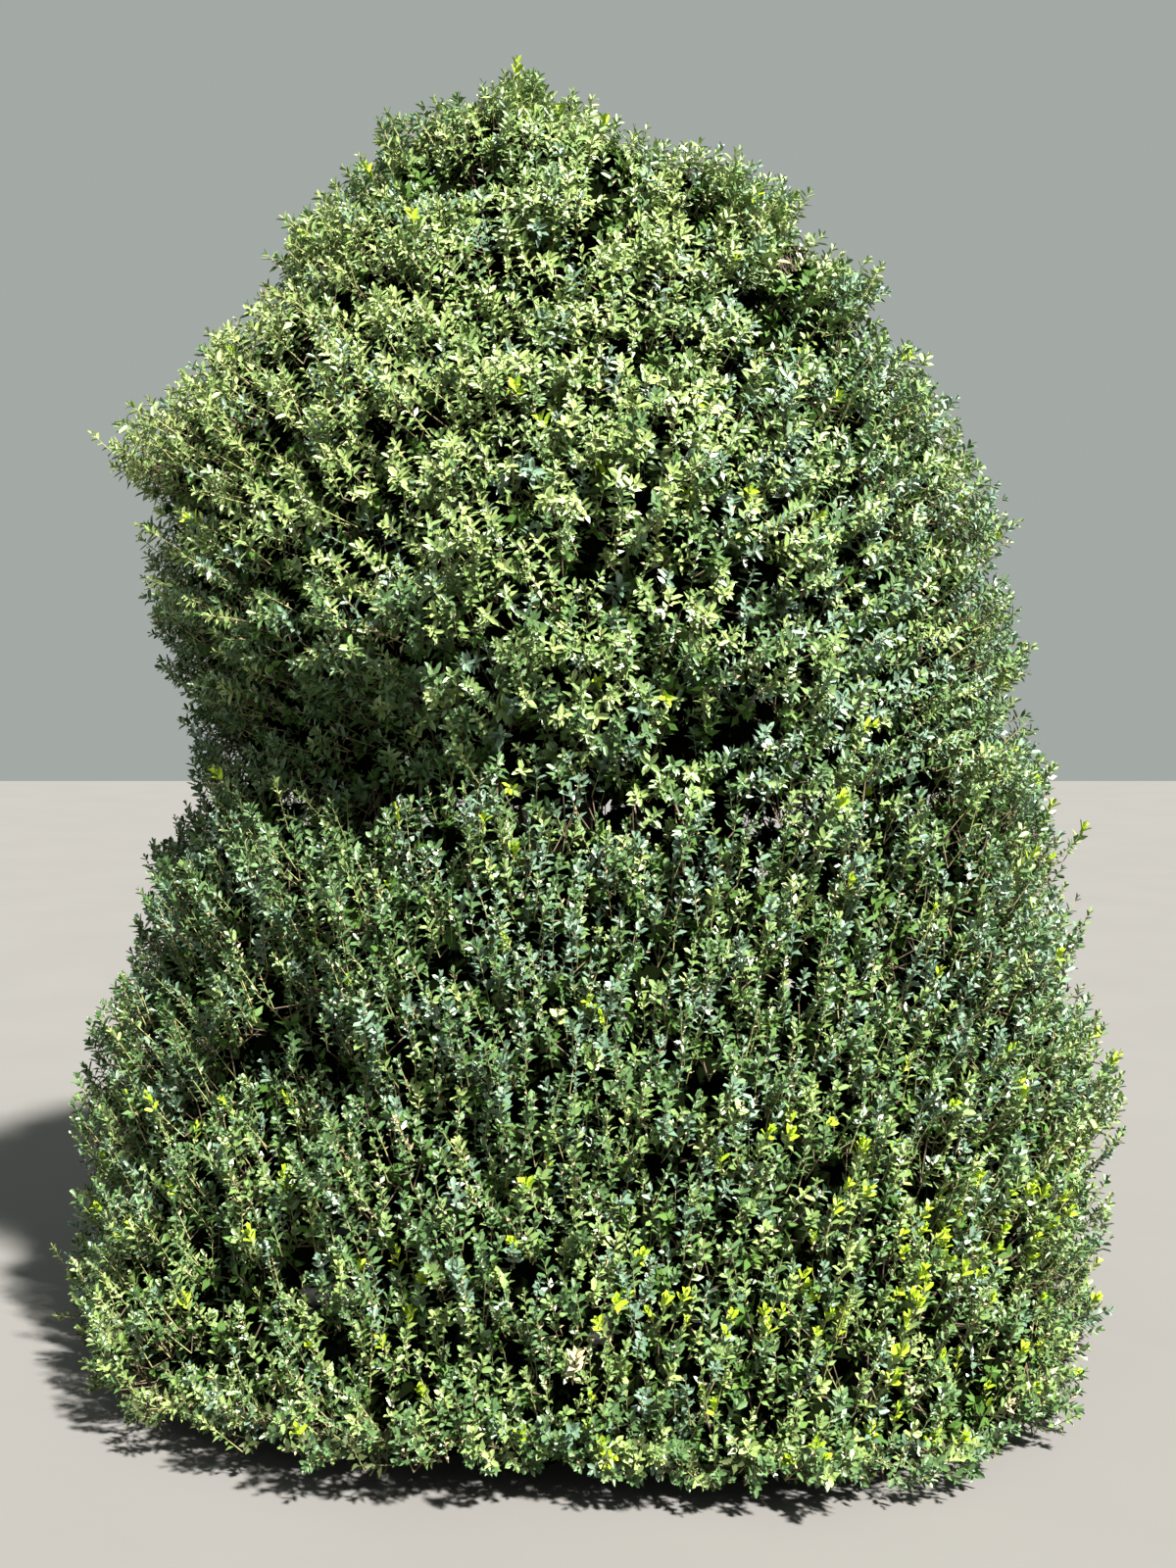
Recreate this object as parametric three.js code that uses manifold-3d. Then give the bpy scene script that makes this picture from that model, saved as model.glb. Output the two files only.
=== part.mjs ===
// A boxwood clipped to a broad cone and grown out a little since. It is rooted in the ground:
// a short trunk forks into twelve boughs, and each bough carries one mass of foliage.
//
// Millimetres, +Z up. The origin is the middle of the flat cut under the trunk, at ground
// level. The front of the plant faces -Y, and its right-hand side faces +X. A facing is an
// angle in degrees from +X towards +Y, so the front is at 270.

import * as THREE from 'three';
import { mergeVertices } from 'three/addons/utils/BufferGeometryUtils.js';
import Module from 'manifold-3d';

const wasm = await Module();
wasm.setup();

const { degToRad, euclideanModulo, lerp, clamp, seededRandom } = THREE.MathUtils;

// Heights of the crown
const HEIGHT = 2650;
const GROUND_GAP = 30;
const LEDGE = 1190; // the crease between the lower skirt and the upper crown
const NECK = 2230; // where the peak starts
const TOP_LEAN = -120; // how far the peak stands to the left of the trunk

// Half widths of the crown, from the skirt's hem to the peak: height, radius
const PROFILE = [
  [30, 1075], [130, 1100], [380, 1085], [760, 1005], [1190, 870], [1500, 880], [1800, 875],
  [1950, 810], [2100, 685], [2250, 560], [2400, 430], [2500, 300], [2590, 125], [2650, 0],
];

// Swells and hollows that the clipping left: facing, height, how far out, half width in
// degrees, half height
const SWELLS = [
  { name: 'left shoulder', at: 180, z: 1850, out: 72, wide: 32, tall: 120 },
  { name: 'left waist', at: 180, z: 1215, out: -35, wide: 40, tall: 125 },
  { name: "left of the upper crown's belly", at: 180, z: 1450, out: 30, wide: 45, tall: 150 },
  { name: 'left of the skirt', at: 185, z: 860, out: -20, wide: 30, tall: 100 },
  { name: "left of the skirt's brim", at: 180, z: 1020, out: 32, wide: 25, tall: 50 },
  { name: 'left slope of the peak', at: 180, z: 2300, out: 45, wide: 35, tall: 70 },
  { name: 'left of the peak', at: 190, z: 2520, out: 45, wide: 50, tall: 50 },
  { name: 'right flank', at: 5, z: 1150, out: 135, wide: 45, tall: 350 },
  { name: 'right of the skirt', at: 355, z: 560, out: 60, wide: 25, tall: 200 },
  { name: 'right of the foot', at: 0, z: 200, out: -55, wide: 30, tall: 90 },
  { name: 'right shoulder', at: 345, z: 2190, out: 105, wide: 28, tall: 70 },
  { name: 'right slope', at: 8, z: 1980, out: 15, wide: 45, tall: 150 },
  { name: 'step right of the peak', at: 0, z: 2520, out: -165, wide: 60, tall: 65 },
  { name: 'second lump right of the peak', at: 0, z: 2355, out: 85, wide: 50, tall: 45 },
  { name: 'left foot', at: 226, z: 120, out: 70, wide: 30, tall: 140 },
  { name: 'left hem', at: 248, z: 30, out: -70, wide: 24, tall: 70 },
  { name: 'front foot', at: 272, z: 140, out: 40, wide: 26, tall: 120 },
  { name: 'right foot', at: 307, z: 60, out: 120, wide: 27, tall: 120 },
  { name: 'hollow in the middle of the front', at: 274, z: 1620, out: -110, wide: 7, tall: 120 },
  { name: 'hollow left of the middle', at: 246, z: 1660, out: -50, wide: 7, tall: 60 },
  { name: 'hollow over the middle lump', at: 253, z: 1880, out: -40, wide: 7, tall: 60 },
  { name: 'hollow at the left of the crease', at: 262, z: 1300, out: -70, wide: 8, tall: 80 },
  { name: 'hollow at the right of the crease', at: 285, z: 1310, out: -60, wide: 9, tall: 80 },
  { name: 'hollow under the left shoulder', at: 230, z: 1310, out: -150, wide: 19, tall: 120 },
  { name: 'middle lump', at: 260, z: 1600, out: 70, wide: 11, tall: 160 },
  { name: 'hollow beside the peak', at: 251, z: 2400, out: -80, wide: 17, tall: 50 },
  { name: 'hollow under the peak', at: 269, z: 2180, out: -70, wide: 12, tall: 60 },
  { name: 'hole in the skirt', at: 234, z: 750, out: -180, wide: 7, tall: 110 },
  { name: 'hollow in the skirt', at: 214, z: 600, out: -50, wide: 14, tall: 160 },
  { name: 'crease', at: 258, z: 1210, out: -50, wide: 45, tall: 45 },
  { name: 'back lump', at: 75, z: 1700, out: 50, wide: 30, tall: 260 },
  { name: 'back hollow', at: 120, z: 1250, out: -60, wide: 35, tall: 110 },
  { name: 'back right hollow', at: 40, z: 1450, out: -90, wide: 13, tall: 120 },
  { name: 'back of the skirt', at: 100, z: 800, out: -80, wide: 10, tall: 140 },
];

// Small waves all round the crown: size, waves in a turn, height of one wave, shift
const WAVES = [
  { size: 12, turns: 5, rise: 1320, shift: 0 },
  { size: 10, turns: 9, rise: -940, shift: 1.3 },
];

// Foliage
const LEAF_DEPTH = 150; // from the core to the crown's outline
const CORE_THICKNESS = 230;
const CORE_SQUARENESS = 40; // the power of the rounded box
const SEAM = 12; // between two cores
const HEM = 45; // from the lowest leaves up to the lower cores
const CORE_CELLS = [5, 1, 6]; // round, in depth and in height
const DOME_SIDES = 14;
const DOME_STEPS = 5;
const MARGIN = 4; // what twigs and leaves keep from their space's sides
const PROUD = 28; // how far a leaf's edge may stand out of the outline
const KNEE_DEPTH = 30; // where a twig bends, under the core's surface
const TWIG_INSET = 28; // from a tier's floor and roof to its nearest twigs
const SECTOR_SHARE = 0.9; // of a sector's width, taken up by its twigs
const LEAF_LENGTH = 120;
const LEAF_WIDTH = 64;
const LEAF_THICKNESS = 5;
const LEAF_BELLY = 0.05; // how far back from its middle a leaf is widest, of its length
const LEAF_ROOT = 4; // how deep in a twig's tip the end leaf starts
const TIP_OVERHANG = 14; // how far the end leaf's tip may pass the outline
const LEAF_SPREAD = degToRad(52); // between a side leaf and its twig
const LEAF_SIZES = [1, 0.8, 0.62]; // tried in turn, until the leaf fits its space
const PAIR_STEPS = [12, 42]; // from a twig's tip back to its pairs of leaves
const PAIR_OFFSET = 4; // between the two leaves of a pair, along the twig
const LEAF_SWAY = 0.5; // how far a leaf may turn round its twig, in radians
const TWIG_RADII = [8, 7, 4]; // at its root, its knee and its tip
const TWIG_SIDES = 3;
const SLIVER = 0.05; // edges shorter than this are merged where leaves and twigs join
const WELD = 0.0001; // corners nearer to each other than this are one

// Each tier of masses: its heights, its core's floor, how far its twigs rise from the knee
// to the outline, its twigs to a mass, and its boughs' radii at root and tip
const TIERS = {
  lower: {
    from: GROUND_GAP,
    to: LEDGE,
    floor: GROUND_GAP + HEM,
    rise: 120,
    twigs: 7,
    boughRadii: [19, 11],
  },
  upper: {
    from: LEDGE,
    to: NECK,
    floor: LEDGE + SEAM / 2,
    rise: 70,
    twigs: 8,
    boughRadii: [20, 12],
  },
  top: {
    from: NECK,
    to: HEIGHT,
    floor: NECK + SEAM / 2,
    rise: 50,
    twigs: 10,
    boughRadii: [24, 13],
  },
};

const SEED = 171; // each mass adds its own number

// The steps of an even scatter over a square
const SCATTER_U = 0.7548776662;
const SCATTER_V = 0.569840291;

// Trunk
const TRUNK_HEIGHT = 330;
const TRUNK_LEAN = 10;
const TRUNK_SIDES = 15;
const TRUNK_WAIST = 62;
const TRUNK_FORK = 80;
const TRUNK_SWELL = 110; // how far below the fork the trunk starts to widen
const FLARE = 40;
const FLARE_HEIGHT = 60;
const ROOTS = 5;
const ROOT_RIDGE = 14;
const TRUNK_LEVELS = [0, 12, 30, 55, 90, 140, 200, 250, 290, 316, TRUNK_HEIGHT];

// Boughs
const CLEARANCE = 0.3; // between pieces that touch
const BOUGH_SIDES = 6;
const BOUGH_STEPS = 6;
const BOUGH_ROOT = 20; // how deep in the trunk a bough's axis starts
const BOUGH_GAP = 45; // from a bough's tip to the core that it carries
const STEM_REACH = 120; // from the face of the core to the stem's end in its heart
const LOWER_STARTS = [190, 258]; // heights, taken in turn
const LOWER_END = 440;
const LOWER_BEND = { radius: 250, z: 300 }; // where a lower bough turns from the trunk
const LOWER_REACH = 200; // how far back from its tip a lower bough runs out level
const LOWER_DROP = 36; // how much lower it is there
const UPPER_RING = 54; // the upper boughs stand in a ring on the trunk's fork
const UPPER_END = 1560;
const UPPER_RISE = 520; // how far an upper bough rises before it turns out
const UPPER_SPREAD = 118; // how far from the axis it is there
const UPPER_REACH = 190; // how far back from its tip it takes its last slant
const LEADER_RISE = 700;

// The masses round the trunk: each has its facing and the width of its sector in degrees
const LOWER_MASSES = [
  { place: 'lower_front', at: 270 },
  { place: 'lower_front_right', at: 330 },
  { place: 'lower_back_right', at: 30 },
  { place: 'lower_back', at: 90 },
  { place: 'lower_back_left', at: 150 },
  { place: 'lower_front_left', at: 210 },
].map((mass) => ({ ...mass, tier: TIERS.lower, wide: 60 }));
const UPPER_MASSES = [
  { place: 'upper_front', at: 270 },
  { place: 'upper_right', at: 342 },
  { place: 'upper_back_right', at: 54 },
  { place: 'upper_back_left', at: 126 },
  { place: 'upper_left', at: 198 },
].map((mass) => ({ ...mass, tier: TIERS.upper, wide: 72 }));
const TOP_MASS = { place: 'top', at: 270, tier: TIERS.top, wide: 360 };

const BARK = new THREE.MeshStandardMaterial({ color: 0x7a6c58, roughness: 0.9 });
const LOWER_GREEN = new THREE.MeshStandardMaterial({ color: 0x3c5a38, roughness: 0.55 });
const UPPER_GREEN = new THREE.MeshStandardMaterial({ color: 0x56763a, roughness: 0.6 });
const TOP_GREEN = new THREE.MeshStandardMaterial({ color: 0x6a8c40, roughness: 0.6 });

const UP = new THREE.Vector3(0, 0, 1);

// The crown's outline

function profileSlope(k) {
  const before = PROFILE[Math.max(k - 1, 0)];
  const after = PROFILE[Math.min(k + 1, PROFILE.length - 1)];
  return (after[1] - before[1]) / (after[0] - before[0]);
}

function profileRadius(z) {
  const height = clamp(z, GROUND_GAP, HEIGHT);
  let k = 0;
  while (k < PROFILE.length - 2 && PROFILE[k + 1][0] <= height) {
    k += 1;
  }
  const [z0, r0] = PROFILE[k];
  const [z1, r1] = PROFILE[k + 1];
  const step = z1 - z0;
  const t = (height - z0) / step;
  const blend = t * t * (3 - 2 * t);
  const startPull = t * (1 - t) ** 2 * step * profileSlope(k);
  const endPull = t * t * (t - 1) * step * profileSlope(k + 1);
  return lerp(r0, r1, blend) + startPull + endPull;
}

// How far a facing lies from another one, in radians
function turnBetween(angle, other) {
  return euclideanModulo(angle - other + Math.PI, 2 * Math.PI) - Math.PI;
}

function crownRadius(angle, z) {
  let radius = profileRadius(z);
  for (const { at, z: height, out, wide, tall } of SWELLS) {
    const side = turnBetween(angle, degToRad(at)) / degToRad(wide);
    const up = (z - height) / tall;
    radius += out * Math.exp(-(side * side + up * up));
  }
  for (const { size, turns, rise, shift } of WAVES) {
    const fade = clamp((HEIGHT - z) / (HEIGHT - NECK), 0, 1);
    radius += size * fade * Math.sin(turns * angle + (2 * Math.PI * z) / rise + shift);
  }
  return Math.max(radius, 0);
}

// The crown's axis leans to the left above the ledge
function axisX(z) {
  return TOP_LEAN * clamp((z - LEDGE) / (HEIGHT - LEDGE), 0, 1);
}

function crownPoint(angle, z, radius) {
  return new THREE.Vector3(
    axisX(z) + radius * Math.cos(angle),
    radius * Math.sin(angle),
    z,
  );
}

// Solids

function toManifold(geometry) {
  const bare = geometry.clone();
  bare.deleteAttribute('normal');
  bare.deleteAttribute('uv');
  const merged = mergeVertices(bare, WELD);
  const mesh = new wasm.Mesh({
    numProp: 3,
    vertProperties: new Float32Array(merged.attributes.position.array),
    triVerts: new Uint32Array(merged.index.array),
  });
  return new wasm.Manifold(mesh);
}

function toGeometry(solid) {
  const { vertProperties, triVerts } = solid.getMesh();
  const geometry = new THREE.BufferGeometry();
  geometry.setAttribute('position', new THREE.BufferAttribute(vertProperties, 3));
  geometry.setIndex(new THREE.BufferAttribute(triVerts, 1));
  geometry.computeVertexNormals();
  return geometry;
}

function largestPiece(solid) {
  const pieces = solid.decompose();
  return pieces.reduce((best, piece) => (piece.volume() > best.volume() ? piece : best));
}

function moveVertices(geometry, place) {
  const position = geometry.attributes.position;
  const point = new THREE.Vector3();
  for (let k = 0; k < position.count; k += 1) {
    point.fromBufferAttribute(position, k);
    const moved = place(point);
    position.setXYZ(k, moved.x, moved.y, moved.z);
  }
  return geometry;
}

// A cylinder of radius 1 that stands on the ground, 1 high
function unitCylinder(sides, steps) {
  const geometry = new THREE.CylinderGeometry(1, 1, 1, sides, steps);
  return geometry.rotateX(Math.PI / 2).translate(0, 0, 0.5);
}

// A tapering limb along a curve
function limb(curve, radiusAt, sides, steps) {
  const frames = curve.computeFrenetFrames(steps);
  const bend = (point) => {
    const k = Math.round(point.z * steps);
    const radius = radiusAt(k / steps);
    return curve
      .getPointAt(k / steps)
      .addScaledVector(frames.normals[k], point.x * radius)
      .addScaledVector(frames.binormals[k], point.y * radius);
  };
  return toManifold(moveVertices(unitCylinder(sides, steps), bend));
}

// Trunk

function trunkRadius(angle, z) {
  const flare = Math.exp(-z / FLARE_HEIGHT);
  const ridges = ROOT_RIDGE * Math.cos(ROOTS * angle);
  const fork = clamp((z - TRUNK_HEIGHT + TRUNK_SWELL) / TRUNK_SWELL, 0, 1);
  return TRUNK_WAIST + flare * (FLARE + ridges) + fork * fork * (TRUNK_FORK - TRUNK_WAIST);
}

function trunkSolid(grown = 0) {
  const steps = TRUNK_LEVELS.length - 1;
  const place = (point) => {
    const k = Math.round(point.z * steps);
    const z = TRUNK_LEVELS[k];
    const angle = Math.atan2(point.y, point.x);
    const radius = (trunkRadius(angle, z) + grown) * Math.hypot(point.x, point.y);
    return new THREE.Vector3(
      (TRUNK_LEAN * z) / TRUNK_HEIGHT + radius * Math.cos(angle),
      radius * Math.sin(angle),
      z + (k === steps ? grown : 0),
    );
  };
  return toManifold(moveVertices(unitCylinder(TRUNK_SIDES, steps), place));
}

// Boughs

function coreRadius(angle, z) {
  return crownRadius(angle, z) - LEAF_DEPTH;
}

function boughEndRadius(angle, z) {
  return coreRadius(angle, z) - CORE_THICKNESS - BOUGH_GAP;
}

function lowerBoughCurve(mass, k) {
  const angle = degToRad(mass.at);
  const start = LOWER_STARTS[k % LOWER_STARTS.length];
  const reach = boughEndRadius(angle, LOWER_END);
  return new THREE.CubicBezierCurve3(
    crownPoint(angle, start, BOUGH_ROOT),
    crownPoint(angle, LOWER_BEND.z, LOWER_BEND.radius),
    crownPoint(angle, LOWER_END - LOWER_DROP, reach - LOWER_REACH),
    crownPoint(angle, LOWER_END, reach),
  );
}

function upperBoughCurve(mass) {
  const angle = degToRad(mass.at);
  const start = TRUNK_HEIGHT - BOUGH_ROOT;
  const reach = boughEndRadius(angle, UPPER_END);
  return new THREE.CubicBezierCurve3(
    crownPoint(angle, start, UPPER_RING).add(new THREE.Vector3(TRUNK_LEAN, 0, 0)),
    crownPoint(angle, start + UPPER_RISE, UPPER_SPREAD),
    crownPoint(angle, UPPER_END - UPPER_REACH, reach - UPPER_REACH),
    crownPoint(angle, UPPER_END, reach),
  );
}

function leaderCurve() {
  const start = TRUNK_HEIGHT - BOUGH_ROOT;
  const end = NECK - BOUGH_GAP;
  return new THREE.CubicBezierCurve3(
    new THREE.Vector3(TRUNK_LEAN, 0, start),
    new THREE.Vector3(0, 0, start + LEADER_RISE),
    new THREE.Vector3(axisX(end - LEADER_RISE), 0, end - LEADER_RISE),
    new THREE.Vector3(axisX(end), 0, end),
  );
}

function boughSolid(mass, curve, grownTrunk) {
  const [thick, thin] = mass.tier.boughRadii;
  const solid = limb(curve, (t) => lerp(thick, thin, t), BOUGH_SIDES, BOUGH_STEPS);
  return largestPiece(solid.subtract(grownTrunk));
}

// The stem of a mass goes straight on from its bough's tip into the heart of its core
function stemCurve(bough) {
  const tip = bough.getPointAt(1);
  const way = bough.getTangentAt(1);
  const start = tip.clone().addScaledVector(way, CLEARANCE);
  const heart = tip.clone().addScaledVector(way, BOUGH_GAP + STEM_REACH);
  return new THREE.LineCurve3(start, heart);
}

// Foliage

// A block between two facings and two heights, as thick as the core, with rounded edges
function sectorCore(mass) {
  const floor = mass.tier.floor;
  const roof = mass.tier.to - SEAM / 2;
  const middle = degToRad(mass.at);
  const halfTurn = degToRad(mass.wide / 2);
  const place = (point) => {
    const longest = Math.max(Math.abs(point.x), Math.abs(point.y), Math.abs(point.z));
    const power = CORE_SQUARENESS;
    const sum = Math.abs(point.x) ** power + Math.abs(point.y) ** power + Math.abs(point.z) ** power;
    point.multiplyScalar(longest / sum ** (1 / power));
    const z = lerp(floor, roof, (point.z + 1) / 2);
    const outside = coreRadius(middle - halfTurn * point.x, z);
    const radius = outside - (CORE_THICKNESS * (1 - point.y)) / 2;
    const gap = SEAM / 2 / Math.max(radius, SEAM);
    return crownPoint(middle - (halfTurn - gap) * point.x, z, radius);
  };
  return toManifold(moveVertices(new THREE.BoxGeometry(2, 2, 2, ...CORE_CELLS), place));
}

// The peak's core is a dome
function domeCore(mass) {
  const floor = mass.tier.floor;
  const roof = mass.tier.to - LEAF_DEPTH;
  const place = (point) => {
    const flat = Math.hypot(point.x, point.y);
    const angle = Math.atan2(point.y, point.x);
    const z = lerp(floor, roof, point.z);
    return crownPoint(angle, z, flat * Math.max(coreRadius(angle, z), SEAM));
  };
  return toManifold(moveVertices(unitCylinder(DOME_SIDES, DOME_STEPS), place));
}

// A facing and a height for a mass's twig number k, spread evenly over its space
function twigPlace(mass, k) {
  const u = euclideanModulo(0.5 + k * SCATTER_U, 1);
  const v = euclideanModulo(0.5 + k * SCATTER_V, 1);
  const { from, to } = mass.tier;
  const low = from + TWIG_INSET;
  if (mass === TOP_MASS) {
    const share = k === 0 ? 1 : 1 - Math.sqrt(1 - v);
    return { angle: 2 * Math.PI * u, z: lerp(low, to - TIP_OVERHANG, share) };
  }
  const turn = degToRad(mass.wide) * SECTOR_SHARE * (u - 0.5);
  return { angle: degToRad(mass.at) + turn, z: lerp(low, to - TWIG_INSET, v) };
}

// A twig goes from the stem's end to a knee under the core's surface, and out to its tip.
// Its end leaf reaches on from there to the crown's outline.
function twigPath(mass, k, heart) {
  const { from, rise } = mass.tier;
  const { angle, z } = twigPlace(mass, k);
  const outline = crownPoint(angle, z, Math.max(crownRadius(angle, z) - MARGIN, 0));
  const kneeZ = clamp(z - rise, from + 2 * KNEE_DEPTH, HEIGHT - LEAF_DEPTH - KNEE_DEPTH);
  const knee = crownPoint(angle, kneeZ, Math.max(coreRadius(angle, kneeZ) - KNEE_DEPTH, 0));
  const way = outline.clone().sub(knee).normalize();
  const tip = outline.clone().addScaledVector(way, TIP_OVERHANG - LEAF_LENGTH);
  return { heart, knee, tip, way };
}

function twigSolid({ heart, knee, tip }) {
  const points = [heart, knee, tip];
  const ways = [knee.clone().sub(heart).normalize(), tip.clone().sub(knee).normalize()];
  const across = new THREE.Vector3().crossVectors(ways[0], UP).normalize();
  const steps = ways.length;
  const place = (point) => {
    const k = Math.round(point.z * steps);
    const before = ways[Math.max(k - 1, 0)];
    const ahead = before.clone().add(ways[Math.min(k, steps - 1)]).normalize();
    const side = across.clone().addScaledVector(ahead, -across.dot(ahead)).normalize();
    const other = new THREE.Vector3().crossVectors(ahead, side);
    return points[k]
      .clone()
      .addScaledVector(side, point.x * TWIG_RADII[k])
      .addScaledVector(other, point.y * TWIG_RADII[k]);
  };
  return toManifold(moveVertices(unitCylinder(TWIG_SIDES, steps), place));
}

// A leaf is an octahedron: root, tip, two sides, a ridge and an underside
function leafPoints(root, way, face, size) {
  const side = new THREE.Vector3().crossVectors(way, face).normalize();
  const along = (y) => (1 + y) / 2 - LEAF_BELLY * (1 - y * y);
  const place = (point) =>
    root
      .clone()
      .addScaledVector(way, LEAF_LENGTH * size * along(point.y))
      .addScaledVector(side, (LEAF_WIDTH * size * point.x) / 2)
      .addScaledVector(face, (LEAF_THICKNESS * point.z) / 2);
  return moveVertices(new THREE.OctahedronGeometry(1), place);
}

function staysInside(mass, geometry) {
  const low = mass.tier.from + MARGIN;
  const high = mass.tier.to - (mass === TOP_MASS ? 0 : MARGIN);
  const half = degToRad(mass.wide / 2);
  const position = geometry.attributes.position;
  for (let k = 0; k < position.count; k += 1) {
    const x = position.getX(k);
    const y = position.getY(k);
    const z = position.getZ(k);
    const angle = Math.atan2(y, x - axisX(z));
    const radius = Math.hypot(x - axisX(z), y);
    const turn = Math.abs(turnBetween(angle, degToRad(mass.at)));
    const outOfTier = z < low || z > high;
    const outOfSector = mass !== TOP_MASS && (half - turn) * radius < MARGIN;
    const outOfCrown = radius > crownRadius(angle, z) + PROUD;
    if (outOfTier || outOfSector || outOfCrown) {
      return false;
    }
  }
  return true;
}

function fittingLeaf(mass, root, way, face) {
  for (const size of LEAF_SIZES) {
    const leaf = leafPoints(root, way, face, size);
    if (staysInside(mass, leaf)) {
      return [toManifold(leaf)];
    }
  }
  return [];
}

// Leaves stand in opposite pairs, each pair a quarter turn from the last, with one at the tip
function twigLeaves(mass, { tip, way }) {
  const first = new THREE.Vector3().crossVectors(way, UP).normalize();
  first.applyAxisAngle(way, seededRandom() * Math.PI);
  const face = new THREE.Vector3().crossVectors(first, way).normalize();
  const endRoot = tip.clone().addScaledVector(way, -LEAF_ROOT);
  const leaves = fittingLeaf(mass, endRoot, way, face);
  PAIR_STEPS.forEach((back, pair) => {
    for (const half of [0, 1]) {
      const root = tip.clone().addScaledVector(way, -back - PAIR_OFFSET * half);
      const turn = Math.PI * (half + pair / 2) + LEAF_SWAY * (seededRandom() - 0.5);
      const out = first.clone().applyAxisAngle(way, turn);
      const along = way.clone().multiplyScalar(Math.cos(LEAF_SPREAD));
      along.addScaledVector(out, Math.sin(LEAF_SPREAD)).normalize();
      const across = new THREE.Vector3().crossVectors(along, way).normalize();
      const blade = new THREE.Vector3().crossVectors(across, along).normalize();
      leaves.push(...fittingLeaf(mass, root, along, blade));
    }
  });
  return leaves;
}

function foliageSolid(mass, bough, seed) {
  seededRandom(seed);
  const stem = stemCurve(bough);
  const heart = stem.getPointAt(1);
  const core = mass === TOP_MASS ? domeCore(mass) : sectorCore(mass);
  const stemRadius = mass.tier.boughRadii[1];
  const parts = [core, limb(stem, () => stemRadius, BOUGH_SIDES, 1)];
  for (let k = 0; k < mass.tier.twigs; k += 1) {
    const twig = twigPath(mass, k, heart);
    parts.push(twigSolid(twig), ...twigLeaves(mass, twig));
  }
  return largestPiece(wasm.Manifold.union(parts).simplify(SLIVER));
}

// The plant

function addMesh(group, name, solid, material) {
  const mesh = new THREE.Mesh(toGeometry(solid), material);
  mesh.name = name;
  group.add(mesh);
}

function buildPlant() {
  const plant = new THREE.Group();
  const grownTrunk = trunkSolid(CLEARANCE);
  let seed = SEED;
  const addBoughAndFoliage = (mass, curve, green) => {
    addMesh(plant, `bough_${mass.place}`, boughSolid(mass, curve, grownTrunk), BARK);
    addMesh(plant, `foliage_${mass.place}`, foliageSolid(mass, curve, seed), green);
    seed += 1;
  };
  addMesh(plant, 'trunk', trunkSolid(), BARK);
  LOWER_MASSES.forEach((mass, k) => addBoughAndFoliage(mass, lowerBoughCurve(mass, k), LOWER_GREEN));
  UPPER_MASSES.forEach((mass) => addBoughAndFoliage(mass, upperBoughCurve(mass), UPPER_GREEN));
  addBoughAndFoliage(TOP_MASS, leaderCurve(), TOP_GREEN);
  return plant;
}

export default buildPlant();
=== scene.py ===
import math

import bpy
import numpy as np
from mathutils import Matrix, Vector, noise


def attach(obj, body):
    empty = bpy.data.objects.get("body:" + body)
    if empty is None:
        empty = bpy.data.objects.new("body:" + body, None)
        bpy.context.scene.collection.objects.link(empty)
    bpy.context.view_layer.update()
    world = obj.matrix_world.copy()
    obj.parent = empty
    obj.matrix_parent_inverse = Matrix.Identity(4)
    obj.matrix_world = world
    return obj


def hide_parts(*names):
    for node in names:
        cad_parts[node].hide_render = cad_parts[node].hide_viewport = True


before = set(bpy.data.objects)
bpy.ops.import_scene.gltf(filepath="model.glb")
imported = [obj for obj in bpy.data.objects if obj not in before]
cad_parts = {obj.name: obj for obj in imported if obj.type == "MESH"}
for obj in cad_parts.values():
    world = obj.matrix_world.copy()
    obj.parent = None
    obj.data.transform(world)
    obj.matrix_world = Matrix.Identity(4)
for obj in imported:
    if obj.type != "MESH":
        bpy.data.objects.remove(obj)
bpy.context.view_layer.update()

# The looks of a boxwood clipped to a broad cone and grown out a little since. Boughs, twigs,
# shoots and leaves grow from the trunk by the rule of the part's source, carried on to finer
# twigs. Metres, +Z up, the front faces -Y. A facing is an angle from +X towards +Y.

UP = np.array([0.0, 0.0, 1.0])
TURN = 2 * math.pi

# Heights of the crown
HEIGHT = 2.65
GROUND_GAP = 0.03
LEDGE = 1.19
NECK = 2.23
TOP_LEAN = -0.12

# Half widths of the crown, from the hem to the peak: height, radius
PROFILE = np.array([
    [0.03, 1.075], [0.13, 1.100], [0.38, 1.085], [0.76, 1.005], [1.19, 0.870],
    [1.50, 0.880], [1.80, 0.875], [1.95, 0.810], [2.10, 0.685], [2.25, 0.560],
    [2.40, 0.430], [2.50, 0.300], [2.59, 0.125], [2.65, 0.0],
])

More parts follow.
